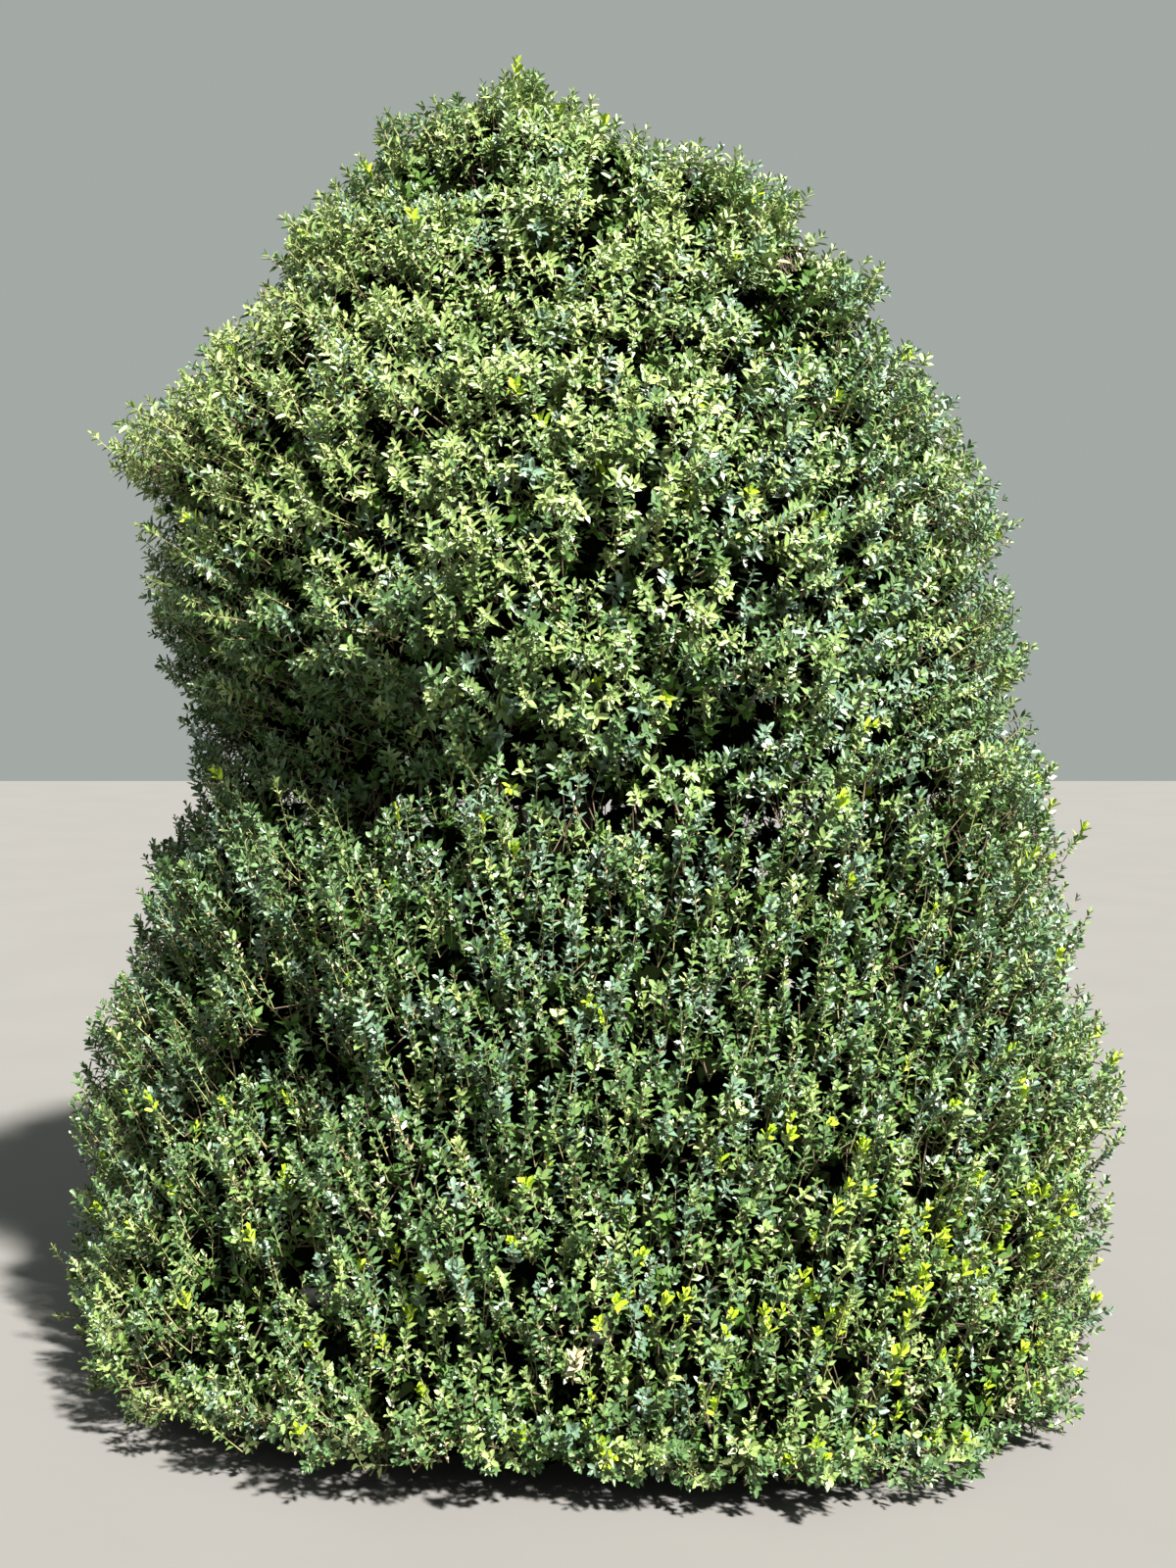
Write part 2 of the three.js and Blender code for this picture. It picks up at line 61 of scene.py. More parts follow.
# Swells and hollows: facing in degrees, height, how far out, half width in degrees, half height
SWELLS = [
    (180, 1.85, 0.072, 32, 0.12),
    (180, 1.215, -0.035, 40, 0.125),
    (180, 1.45, 0.03, 45, 0.15),
    (185, 0.86, -0.02, 30, 0.1),
    (180, 1.02, 0.032, 25, 0.05),
    (180, 2.3, 0.045, 35, 0.07),
    (190, 2.52, 0.045, 50, 0.05),
    (5, 1.15, 0.135, 45, 0.35),
    (355, 0.56, 0.06, 25, 0.2),
    (0, 0.2, -0.055, 30, 0.09),
    (345, 2.19, 0.105, 28, 0.07),
    (8, 1.98, 0.015, 45, 0.15),
    (0, 2.52, -0.165, 60, 0.065),
    (0, 2.355, 0.085, 50, 0.045),
    (226, 0.12, 0.07, 30, 0.14),
    (248, 0.03, -0.07, 24, 0.07),
    (272, 0.14, 0.04, 26, 0.12),
    (307, 0.06, 0.12, 27, 0.12),
    (274, 1.62, -0.11, 7, 0.12),
    (246, 1.66, -0.05, 7, 0.06),
    (253, 1.88, -0.04, 7, 0.06),
    (262, 1.3, -0.07, 8, 0.08),
    (285, 1.31, -0.06, 9, 0.08),
    (230, 1.31, -0.15, 19, 0.12),
    (260, 1.6, 0.07, 11, 0.16),
    (251, 2.4, -0.08, 17, 0.05),
    (269, 2.18, -0.07, 12, 0.06),
    (234, 0.75, -0.18, 7, 0.11),
    (214, 0.6, -0.05, 14, 0.16),
    (258, 1.21, -0.05, 45, 0.045),
    (75, 1.7, 0.05, 30, 0.26),
    (120, 1.25, -0.06, 35, 0.11),
    (40, 1.45, -0.09, 13, 0.12),
    (100, 0.8, -0.08, 10, 0.14),
]

# Small waves all round: size, waves in a turn, height of one wave, shift
WAVES = [(0.012, 5, 1.32, 0.0), (0.010, 9, -0.94, 1.3)]

# Foliage, by the source's rule
LEAF_DEPTH = 0.15  # from the outline to the source's cores
CORE_THICKNESS = 0.23
KNEE_DEPTH = 0.03  # where a twig bends, under the core's surface
MARGIN = 0.004
TWIG_INSET = 0.028  # from a tier's floor and roof to the source's nearest twigs
SECTOR_SHARE = 0.9  # of a mass's width, taken up by the source's twigs
SCATTER_U = 0.7548776662
SCATTER_V = 0.569840291
TIP_OVERHANG = 0.014
LEAF_LENGTH = 0.12  # of the source's leaves, which reach from a twig's tip to the outline

# The tufts, which the source doesn't have
LOWEST_TUFT = 0.012  # over its tier's floor
TUFT_KNEE_LIFT = 0.01  # how far a tuft's knee stays over its tier's floor
OUTLINE_STEPS = 60  # heights at which the outline's area is reckoned
FORK_SPAN = 0.5  # a tuft whose knee is this far from its limb's knee forks at the limb's root
FORK_SHARES = (0.15, 0.95)  # how far along the limb a tuft may fork
ELBOW_SHARE = 0.55  # how far from its fork to its knee a tuft's twig bends
ELBOW_STRAY = 0.012

# Each tier: its heights, how far its twigs rise from knee to outline, the source's twigs to a
# mass, all its tufts and how far they pass its roof, how its shoots point: out, up and at
# random, and its boughs' radii at root and tip
TIERS = {
    "lower": {
        "from": GROUND_GAP, "to": LEDGE, "rise": 0.12, "twigs": 7, "tufts": 178, "past": 0.05,
        "out": 0.48, "up": 0.85, "stray": 0.4, "radii": (0.019, 0.011),
    },
    "upper": {
        "from": LEDGE, "to": NECK, "rise": 0.07, "twigs": 8, "tufts": 162, "past": 0.03,
        "out": 0.9, "up": 0.42, "stray": 0.5, "radii": (0.020, 0.012),
    },
    "top": {
        "from": NECK, "to": HEIGHT, "rise": 0.05, "twigs": 10, "tufts": 235, "past": 0.0,
        "out": 0.75, "up": 0.6, "stray": 0.4, "radii": (0.024, 0.013),
    },
}

# The masses: name, tier, facing and width in degrees
MASSES = [
    ("lower_front", "lower", 270, 60),
    ("lower_front_right", "lower", 330, 60),
    ("lower_back_right", "lower", 30, 60),
    ("lower_back", "lower", 90, 60),
    ("lower_back_left", "lower", 150, 60),
    ("lower_front_left", "lower", 210, 60),
    ("upper_front", "upper", 270, 72),
    ("upper_right", "upper", 342, 72),
    ("upper_back_right", "upper", 54, 72),
    ("upper_back_left", "upper", 126, 72),
    ("upper_left", "upper", 198, 72),
    ("top", "top", 270, 360),
]

# The crown's surface: how deep its tufts, lumps and the valleys between its clumps go
TUFT_SPREAD = 0.060
TUFT_DENT = 0.050
TUFT_DOME = 0.028
OUTLINE_SHIFT = 0.030  # how far all shoots are moved out, to make up for the dents
SHOOT_ROUGHNESS = 0.010
LUMP_SIZE = 0.26
LUMP_DEPTH = 0.03
LUMP_LEVEL = 0.5
LUMP_LIMIT = 1.6
LUMP_NOISE = (0.6, 2.0, 3)  # how fine waves fade, how much finer each is, and how many there are
CLUMP_SIZES = {
    "lower": (0.14, 0.14, 0.20),
    "upper": (0.16, 0.16, 0.14),
    "top": (0.15, 0.15, 0.13),
}
VALLEY_DEPTHS = {"lower": 0.070, "upper": 0.085, "top": 0.050}
VALLEY_WIDTH = 0.16  # as a share of a clump
FLANK_VALLEYS = 1.3  # how much deeper the valleys get, by the metre, out to the side
FLANK_START = 0.35  # from the middle of the crown
FLANK_SPAN = 0.5

# The hem: how high the lowest leaves hang, and how far it rises from there. The level, waves
# and left are shares of that rise.
HEM_HEIGHT = 0.018
HEM_RISE = 0.055
HEM_LEVEL = 0.15
HEM_WAVE = 0.8
HEM_WAVE_SIZE = 0.22
HEM_LEFT = 0.45
TUFT_OVER_HEM = 0.02
BASE_OVER_HEM = 0.01
TIP_OVER_HEM = 0.02
FULL_RISE = 0.16  # over the foliage's lowest height, from where shoots point up in full
FLATTEST_RISE = 0.1

# Shoots
SEED = 80
SHOOTS = 8  # on a tuft
GOLDEN_TURN = 2.39996
RING_STRAY = (0.85, 1.15)
SMALLEST_RADIUS = 0.12  # of the crown, for turns round it near the peak
SHOOT_FLOOR = GROUND_GAP + 0.005
SHOOT_ROOF = HEIGHT - 0.004
FIRST_SHOOT = 0.7  # where the first shoot leaves its twig, in steps from the knee
SHOOT_BEND = 0.5
LOWEST_WAY = -0.15
SHOOT_LENGTHS = {"lower": (0.070, 0.115), "upper": (0.070, 0.105), "top": (0.070, 0.100)}
SPRIG_SHARE = 0.07  # of the shoots stand out further
SPRIG_REACH = (0.010, 0.030)
SPRIG_LENGTH = 0.015

# Leaves: pairs from a shoot's tip to its base, with their places, spreads and sizes
PAIR_PLACES = np.array([0.02, 0.09, 0.18, 0.28, 0.39, 0.51, 0.64, 0.79])
PAIR_SPREADS = {
    "lower": np.radians([14, 30, 42, 50, 54, 58, 60, 60]),
    "upper": np.radians([20, 40, 54, 62, 68, 72, 74, 74]),
    "top": np.radians([20, 40, 54, 62, 68, 72, 74, 74]),
}
PAIR_SIZES = np.array([0.52, 0.78, 0.96, 1.0, 1.0, 1.0, 0.95, 0.9])
FINE_PAIRS = 4  # at the tip, whose leaves have six corners
TURN_NOISE = 0.16
SPREAD_NOISE = math.radians(8)
PLACE_NOISE = 0.012
LEAF_ROLL = math.radians(22)
LEAF_SIZES = {"lower": (0.0220, 0.0106), "upper": (0.0240, 0.0098), "top": (0.0245, 0.0096)}
SHOOT_VIGOUR = (0.76, 1.16)  # how large a shoot's leaves are
LENGTH_RANGE = (0.88, 1.1)
WIDTH_RANGE = (0.9, 1.1)
LEAF_LIFT = {"lower": 0.15, "upper": 0.35, "top": 0.35}
LEAF_LOST = 0.05
LEAF_UNDER_HEM = 0.01
DRY_SHARE = {"lower": 0.12, "upper": 0.06, "top": 0.05}
DRY_SIZE = 0.5
PIECE_LEAVES = 48000

# Young tips over older leaves: the kind at the tip, the kind below it, and from which pair
YOUNG_TIPS = [("lime", "yellow", 4), ("yellow", "mid", 5)]
YOUNG_SIZE = 1.08
YOUNG_SPREAD = 0.7

# Leaves on the tufts' twigs, from the knee (0) towards the tip (1) or the elbow (-1): how many on
# a tuft, their size, the stretch of twig they stand on, how far they face outwards, and what
# share of their size is added at the elbow
# The shade leaves' kind is painted darker and greener than the deep leaves: painted shade.
SHADE_LEAVES = {
    "count": 24, "size": (0.029, 0.0145), "reach": (0.1, 1.0), "facing": 0.6, "deeper": 0.0,
}
# The inner leaves are painted near black: painted shade, for the deep shade inside the crown.
INNER_LEAVES = {
    "count": 19, "size": (0.060, 0.044), "reach": (-1.0, 0.5), "facing": 1.6, "deeper": 1.2,
}
FACING_NOISE = 0.7
TWIG_LEAF_RANGE = (0.75, 1.1)
LOWEST_TWIG_LEAF = 2 * HEM_HEIGHT

# They stay inside the outline: no longer than this share of their depth in it, which is measured
# there and a little higher, and left out where they would be too small
LEAF_ROOM = 0.45
LEAF_RISE = 0.06
SMALLEST_SHARE = 0.3


def unit(v):
    return v / np.linalg.norm(v, axis=-1, keepdims=True)


def lerp(a, b, t):
    return a + (b - a) * t


def mix(a, b, t):
    """Between two points or arrays of points."""
    return a + (b - a) * np.asarray(t)[..., None]


# The crown's outline

def profile_radius(z):
    """Half width of the crown at a height, smooth between the profile's points."""
    heights = PROFILE[:, 0]
    radii = PROFILE[:, 1]
    ahead = np.minimum(np.arange(len(radii)) + 1, len(radii) - 1)
    behind = np.maximum(np.arange(len(radii)) - 1, 0)
    slopes = (radii[ahead] - radii[behind]) / (heights[ahead] - heights[behind])
    z = np.clip(z, GROUND_GAP, HEIGHT)
    k = np.clip(np.searchsorted(heights, z, side="right") - 1, 0, len(radii) - 2)
    step = heights[k + 1] - heights[k]
    t = (z - heights[k]) / step
    blend = t * t * (3 - 2 * t)
    start_pull = t * (1 - t) ** 2 * step * slopes[k]
    end_pull = t * t * (t - 1) * step * slopes[k + 1]
    return lerp(radii[k], radii[k + 1], blend) + start_pull + end_pull


def turn_between(angle, other):
    return (angle - other + math.pi) % TURN - math.pi


def crown_radius(angle, z):
    """The same with the swells, hollows and waves."""
    radius = profile_radius(z)
    for at, height, out, wide, tall in SWELLS:
        side = turn_between(angle, math.radians(at)) / math.radians(wide)
        up = (z - height) / tall
        radius = radius + out * np.exp(-(side * side + up * up))
    fade = np.clip((HEIGHT - z) / (HEIGHT - NECK), 0, 1)
    for size, turns, rise, shift in WAVES:
        radius = radius + size * fade * np.sin(turns * angle + TURN * z / rise + shift)
    return np.maximum(radius, 0)


def axis_x(z):
    return TOP_LEAN * np.clip((z - LEDGE) / (HEIGHT - LEDGE), 0, 1)


def crown_point(angle, z, radius):
    """The point at a facing, a height and a distance from the crown's axis."""
    angle, z, radius = np.broadcast_arrays(angle, z, radius)
    return np.stack([axis_x(z) + radius * np.cos(angle), radius * np.sin(angle), z], axis=-1)


def outline_point(angle, z, depth=0.0):
    return crown_point(angle, z, np.maximum(crown_radius(angle, z) - depth, 0))


def outline_ways(angle, z):
    """The ways up along the outline, and out of it."""
    turn = 0.02
    rise = 0.01
    low = np.minimum(z, HEIGHT - rise)
    round_way = unit(crown_point(angle + turn, z, 1.0) - crown_point(angle - turn, z, 1.0))
    up_way = unit(outline_point(angle, low + rise) - outline_point(angle, low - rise))
    out_way = unit(np.cross(round_way, up_way))
    return up_way, out_way


# Boughs

TRUNK_HEIGHT = 0.33
TRUNK_LEAN = 0.01
TRUNK_WAIST = 0.062  # its radius over the flare
TRUNK_FORK = 0.08  # its radius at the top, where the boughs fork
TRUNK_SWELL = 0.11  # the height over which it widens to that
FLARE = 0.04
FLARE_HEIGHT = 0.06
ROOTS = 5
ROOT_RIDGE = 0.014
BOUGH_ROOT = 0.02
BOUGH_GAP = 0.045  # from a bough's tip to its mass's core
STEM_REACH = 0.12  # from there to the mass's heart
STEM_CLEARANCE = 0.0003

# The curves of each tier's boughs: the heights that they start at in turn, radius and lean of
# their roots, height and radius of the bend, height of the next point and how far it is short
# of the tip, and the tip's height
BOUGH_CURVES = {
    "lower": {
        "starts": (0.19, 0.258), "root": BOUGH_ROOT, "lean": 0.0,
        "bend": (0.3, 0.25), "slant": (0.404, 0.2), "end": 0.44,
    },
    "upper": {
        "starts": (0.31,), "root": 0.054, "lean": TRUNK_LEAN,
        "bend": (0.83, 0.118), "slant": (1.37, 0.19), "end": 1.56,
    },
}

# The heights of the bough to the peak, and how far it rises straight at its end
LEADER_START = 0.31
LEADER_BEND = 1.01
LEADER_END = NECK - BOUGH_GAP
LEADER_RISE = 0.7


def bough_reach(angle, z):
    """How far out a bough ends, short of its mass's core."""
    return float(crown_radius(angle, z)) - LEAF_DEPTH - CORE_THICKNESS - BOUGH_GAP


def bough_points(tier, angle, turn):
    """The four control points of a bough's curve."""
    if tier == "top":
        slant_height = LEADER_END - LEADER_RISE
        return [
            np.array([TRUNK_LEAN, 0, LEADER_START]),
            np.array([0, 0, LEADER_BEND]),
            np.array([axis_x(slant_height), 0, slant_height]),
            np.array([axis_x(LEADER_END), 0, LEADER_END]),
        ]
    curve = BOUGH_CURVES[tier]
    starts = curve["starts"]
    bend_height, bend_radius = curve["bend"]
    slant_height, slant_back = curve["slant"]
    reach = bough_reach(angle, curve["end"])
    return [
        crown_point(angle, starts[turn % len(starts)], curve["root"]) + [curve["lean"], 0, 0],
        crown_point(angle, bend_height, bend_radius),
        crown_point(angle, slant_height, reach - slant_back),
        crown_point(angle, curve["end"], reach),
    ]


def bezier(points, steps):
    t = np.linspace(0, 1, steps + 1)[:, None]
    a, b, c, d = points
    return a * (1 - t) ** 3 + 3 * b * t * (1 - t) ** 2 + 3 * c * t * t * (1 - t) + d * t ** 3


# Tufts, by the source's rule for twigs

def even_heights(angle, share, low, high):
    """Heights that spread points evenly over the outline, by its area at each facing."""
    steps = np.linspace(low, high, OUTLINE_STEPS)
    points = outline_point(angle[:, None], steps)
    spans = np.linalg.norm(np.diff(points, axis=1), axis=-1)
    areas = spans * crown_radius(angle[:, None], (steps[1:] + steps[:-1]) / 2)
    sums = np.cumsum(np.pad(areas, ((0, 0), (1, 0))), axis=1)
    return np.array([np.interp(s * row[-1], row, steps) for s, row in zip(share, sums)])


def twig_places(tier, angle, wide, count):
    """Facings and heights for a mass's tufts. The first ones are the source's twigs."""
    k = np.arange(count)
    u = (0.5 + k * SCATTER_U) % 1
    v = (0.5 + k * SCATTER_V) % 1
    low = tier["from"] + TWIG_INSET
    own = k < tier["twigs"]
    if wide > math.pi:
        around = TURN * u
        high = tier["to"] - TIP_OVERHANG
        share = 1 - np.sqrt(1 - v)
        share[0] = 1
        z = np.where(own, lerp(low, high, share), even_heights(around, v, tier["from"], high))
        return around, z
    around = angle + wide * np.where(own, SECTOR_SHARE, 1.0) * (u - 0.5)
    even = even_heights(around, v, tier["from"] + LOWEST_TUFT, tier["to"] + tier["past"])
    return around, np.where(own, lerp(low, tier["to"] - TWIG_INSET, v), even)


def knees(tier, angle, z, lift=2 * KNEE_DEPTH):
    """Where twigs bend towards the outline, under the surface of the cores."""
    low = tier["from"] + lift
    knee_z = np.clip(z - tier["rise"], low, HEIGHT - LEAF_DEPTH - KNEE_DEPTH)
    return outline_point(angle, knee_z, LEAF_DEPTH + KNEE_DEPTH)


def grow_limbs(tier, heart, angle, z):
    """The source's twigs: heart, knee and tip."""
    count = tier["twigs"]
    outline = outline_point(angle[:count], z[:count], MARGIN)
    knee = knees(tier, angle[:count], z[:count])
    tip = outline + unit(outline - knee) * (TIP_OVERHANG - LEAF_LENGTH)
    return np.stack([np.broadcast_to(heart, knee.shape), knee, tip], axis=1)


def grow_tufts(tier, limbs, angle, z, rng):
    """Finer twigs fork from the nearest limb: root, elbow, knee and tip."""
    knee = knees(tier, angle, z, TUFT_KNEE_LIFT)
    knee[:, 2] = np.maximum(knee[:, 2], HEM_HEIGHT + HEM_RISE)
    outline = outline_point(angle, z, MARGIN)
    tip = outline + unit(outline - knee) * (TIP_OVERHANG - LEAF_LENGTH)
    away = np.linalg.norm(knee[:, None] - limbs[None, :, 1], axis=-1)
    nearest = limbs[np.argmin(away, axis=1)]
    share = np.clip(1 - np.min(away, axis=1) / FORK_SPAN, *FORK_SHARES)
    root = mix(nearest[:, 0], nearest[:, 1], share)
    elbow = mix(root, knee, ELBOW_SHARE) + rng.normal(0, ELBOW_STRAY, knee.shape)
    return np.stack([root, elbow, knee, tip], axis=1)


# The hem, and how deep the crown's surface goes

def place_noise(points, size):
    return np.array([noise.noise(Vector(p) / size) for p in points.tolist()])


def hem_height(points):
    """How high the lowest leaves hang over the ground, higher at the front left."""
    flat = points * [1, 1, 0]
    wave = place_noise(flat, HEM_WAVE_SIZE)
    left = np.clip(-points[:, 0] - points[:, 1], 0, 1)
    return HEM_HEIGHT + HEM_RISE * np.clip(HEM_LEVEL + HEM_WAVE * wave + HEM_LEFT * left, 0, 1)


def lumps(points):
    """How deep the outline's own lumps and dents go at each point."""
    depth = [noise.fractal(Vector(p) / LUMP_SIZE, *LUMP_NOISE) for p in points.tolist()]
    return LUMP_DEPTH * np.clip(LUMP_LEVEL - np.array(depth), 0, LUMP_LIMIT)


def valleys(name, points):
    """How deep the dark valleys between the crown's clumps of shoots go at each point."""
    cells = (points / np.array(CLUMP_SIZES[name])).tolist()
    gaps = []
    for cell in cells:
        near = noise.voronoi(Vector(cell))[0]
        gaps.append(near[1] - near[0])
    return VALLEY_DEPTHS[name] * np.exp(-(np.array(gaps) / VALLEY_WIDTH) ** 2)


# Shoots

def spread_shoots(angle, z, rng):
    """Where the shoots of each tuft meet the outline around it, and how far from its middle."""
    count = len(angle)
    s = np.arange(SHOOTS)
    around = s * GOLDEN_TURN + rng.uniform(0, TURN, (count, 1))
    ring = np.sqrt((s + 0.5) / SHOOTS) * rng.uniform(*RING_STRAY, (count, SHOOTS))
    across = TUFT_SPREAD * ring * np.cos(around)
    along = TUFT_SPREAD * ring * np.sin(around)
    up_way, _ = outline_ways(angle, z)
    radius = np.maximum(crown_radius(angle, z), SMALLEST_RADIUS)[:, None]
    shoot_angle = (angle[:, None] + across / radius).ravel()
    shoot_z = np.clip(z[:, None] + along * up_way[:, 2:3], SHOOT_FLOOR, SHOOT_ROOF).ravel()
    return shoot_angle, shoot_z, ring.ravel()


def shoot_depths(name, outline, ring, count, rng):
    """How deep under the outline each shoot ends, and which ones stand out as sprigs."""
    dent = np.repeat(rng.uniform(0, TUFT_DENT, count), SHOOTS)
    dome = TUFT_DOME * ring ** 2
    rough = np.abs(rng.normal(0, SHOOT_ROUGHNESS, len(ring)))
    flank = 1 + FLANK_VALLEYS * np.clip(np.abs(outline[:, 0]) - FLANK_START, 0, FLANK_SPAN)
    depth = dent + dome + rough + lumps(outline) + valleys(name, outline) * flank
    sprig = rng.random(len(ring)) < SPRIG_SHARE
    return depth - OUTLINE_SHIFT - sprig * rng.uniform(*SPRIG_REACH, len(ring)), sprig


def grow_shoots(name, tier, tufts, angle, z, rng):
    """Shoots stand on each tuft's twig and reach the crown's outline around it."""
    count = len(angle)
    shoot_angle, shoot_z, ring = spread_shoots(angle, z, rng)
    hem = hem_height(outline_point(shoot_angle, shoot_z))
    shoot_z = np.maximum(shoot_z, hem + BASE_OVER_HEM)
    outline = outline_point(shoot_angle, shoot_z)
    depth, sprig = shoot_depths(name, outline, ring, count, rng)
    _, out_way = outline_ways(shoot_angle, shoot_z)
    out_way[:, 2] = np.maximum(out_way[:, 2], LOWEST_WAY)
    out_way = unit(out_way)
    tip = outline - out_way * depth[:, None]
    stray = unit(rng.normal(0, 1, tip.shape))
    rise = np.clip((shoot_z - GROUND_GAP) / FULL_RISE, FLATTEST_RISE, 1)[:, None]
    share = np.tile((np.arange(SHOOTS) + FIRST_SHOOT) / SHOOTS, count)
    twig = np.repeat(tufts, SHOOTS, axis=0)
    start = mix(twig[:, 2], twig[:, 3], share)
    way = unit(tier["out"] * out_way + tier["up"] * rise * UP + tier["stray"] * stray)
    way = unit(way + SHOOT_BEND * unit(tip - start))
    length = rng.uniform(*SHOOT_LENGTHS[name], len(tip)) + sprig * SPRIG_LENGTH
    base = tip - way * length[:, None]
    base[:, 2] = np.maximum(base[:, 2], hem + BASE_OVER_HEM)
    tip[:, 2] = np.maximum(tip[:, 2], hem + TIP_OVER_HEM)
    return {
        "start": start,
        "base": base,
        "tip": tip,
        "way": unit(tip - base),
        "length": np.linalg.norm(tip - base, axis=-1),
        "angle": shoot_angle,
        "z": shoot_z,
        "hem": hem,
        "sprig": sprig,
    }


# Leaves

def leaf_ways(name, shoots, kinds, shape, rng):
    """Each leaf's own axis and the way it faces, for the shoots' opposite pairs."""
    count, pairs, _ = shape
    way = shoots["way"][:, None, None, :]
    side = unit(np.cross(shoots["way"], unit(rng.normal(0, 1, (count, 3)))))
    other = np.cross(shoots["way"], side)
    quarter = np.arange(pairs)[None, :, None] * math.pi / 2
    half = np.array([0, math.pi])[None, None, :]
    turn = (quarter + half + rng.normal(0, TURN_NOISE, shape))[..., None]
    out = np.cos(turn) * side[:, None, None, :] + np.sin(turn) * other[:, None, None, :]
    closed = np.where(kinds == "lime", YOUNG_SPREAD, 1)[:, None, None]
    spread = PAIR_SPREADS[name][None, :, None] * closed + rng.normal(0, SPREAD_NOISE, shape)
    cos = np.cos(spread)[..., None]
    sin = np.sin(spread)[..., None]
    axis = cos * way + sin * out
    face = sin * way - cos * out
    face = unit(face + LEAF_LIFT[name] * UP)
    face = unit(face - np.sum(face * axis, axis=-1, keepdims=True) * axis)
    roll = rng.normal(0, LEAF_ROLL, shape)[..., None]
    return axis, np.cos(roll) * face + np.sin(roll) * np.cross(axis, face)


def grow_leaves(name, shoots, kinds, rng):
    """Opposite pairs along each shoot, each pair a quarter turn from the last."""
    count = len(shoots["tip"])
    pairs = len(PAIR_PLACES)
    shape = (count, pairs, 2)
    axis, face = leaf_ways(name, shoots, kinds, shape, rng)
    place = PAIR_PLACES[None, :, None] + rng.normal(0, PLACE_NOISE, shape)
    back = (np.abs(place) * shoots["length"][:, None, None])[..., None]
    root = shoots["tip"][:, None, None, :] - shoots["way"][:, None, None, :] * back
    vigour = rng.uniform(*SHOOT_VIGOUR, count) * np.where(kinds == "lime", YOUNG_SIZE, 1)
    size = PAIR_SIZES[None, :, None] * vigour[:, None, None] * rng.uniform(*LENGTH_RANGE, shape)
    length, width = LEAF_SIZES[name]
    low = np.minimum(root[..., 2], (root + axis * length)[..., 2])
    lowest = shoots["hem"][:, None, None] - LEAF_UNDER_HEM
    kept = (rng.random(shape) > LEAF_LOST) & (low > lowest)
    return {
        "root": root[kept],
        "axis": axis[kept],
        "face": face[kept],
        "length": (size * length)[kept],
        "width": (size * width * rng.uniform(*WIDTH_RANGE, shape))[kept],
        "shoot": np.broadcast_to(np.arange(count)[:, None, None], shape)[kept],
        "pair": np.broadcast_to(np.arange(pairs)[None, :, None], shape)[kept],
    }


def depth_inside(points):
    """How far points lie inside the outline, there and a little higher, and under the peak."""
    z = points[:, 2]
    x = points[:, 0] - axis_x(z)
    angle = np.arctan2(points[:, 1], x)
    radius = np.minimum(crown_radius(angle, z), crown_radius(angle, z + LEAF_RISE))
    return np.minimum(radius - np.hypot(x, points[:, 1]), HEIGHT - z)


def grow_twig_leaves(kind, tufts, angle, z, rng):
    """Leaves along the tufts' twigs, deep in the crown. They face outwards, more or less."""
    count = kind["count"]
    share = rng.uniform(*kind["reach"], (len(tufts), count))
    deep = mix(tufts[:, None, 2], tufts[:, None, 1], -share)
    root = np.where(share[..., None] < 0, deep, mix(tufts[:, None, 2], tufts[:, None, 3], share))
    root = root.reshape(-1, 3)
    _, out_way = outline_ways(angle, z)
    out_way = np.repeat(out_way, count, axis=0)
    face = unit(kind["facing"] * out_way + rng.normal(0, FACING_NOISE, root.shape))
    axis = unit(np.cross(face, unit(rng.normal(0, 1, root.shape))))
    length, width = kind["size"]
    grown = 1 + kind["deeper"] * np.clip(-share.ravel(), 0, 1)
    size = rng.uniform(*TWIG_LEAF_RANGE, len(root)) * grown
    size = np.minimum(size, LEAF_ROOM * depth_inside(root) / length)
    leaves = {
        "root": root,
        "axis": axis,
        "face": face,
        "length": size * length,
        "width": size * width,
    }
    tip = root + axis * leaves["length"][:, None]
    low = np.minimum(root[:, 2], tip[:, 2])
    kept = (low > LOWEST_TWIG_LEAF) & (size > SMALLEST_SHARE)
    return {key: value[kept] for key, value in leaves.items()}


# Meshes

# The corners at a leaf's sides: how far along, and how far to the side, as shares
LEAF_OUTLINES = {
    "lower": [(0.26, 0.86), (0.80, 0.86)],
    "upper": [(0.28, 0.90), (0.76, 0.82)],
    "top": [(0.28, 0.90), (0.76, 0.82)],
}
PLAIN_OUTLINE = [(0.48, 1.0)]

# A leaf's faces, by how many corners each side has
LEAF_FACES = {1: [[0, 1, 2, 3]], 2: [[0, 1, 2, 3], [0, 3, 4, 5]]}
LEAF_FOLD = 0.21
LEAF_DROOP = 0.15

# Keep the ways along a tube from having no length, and its sides from an upright guide
SMALL_STEP = 1e-9
OFF_UP = 0.01


def leaf_corners(leaves, outline):
    """Root, right side, tip and left side of every leaf, four or six corners in all."""
    axis = leaves["axis"]
    face = leaves["face"]
    side = np.cross(axis, face)
    length = leaves["length"][:, None]
    half = leaves["width"][:, None] / 2
    corners = [leaves["root"]]
    right = []
    left = []
    for along, wide in outline:
        middle = leaves["root"] + axis * length * along - face * length * LEAF_DROOP * along ** 2
        fold = face * half * wide * LEAF_FOLD * 2
        right.append(middle + side * half * wide + fold)
        left.append(middle - side * half * wide + fold)
    corners += right
    corners.append(leaves["root"] + axis * length - face * length * LEAF_DROOP)
    corners += left[::-1]
    return np.stack(corners, axis=1)


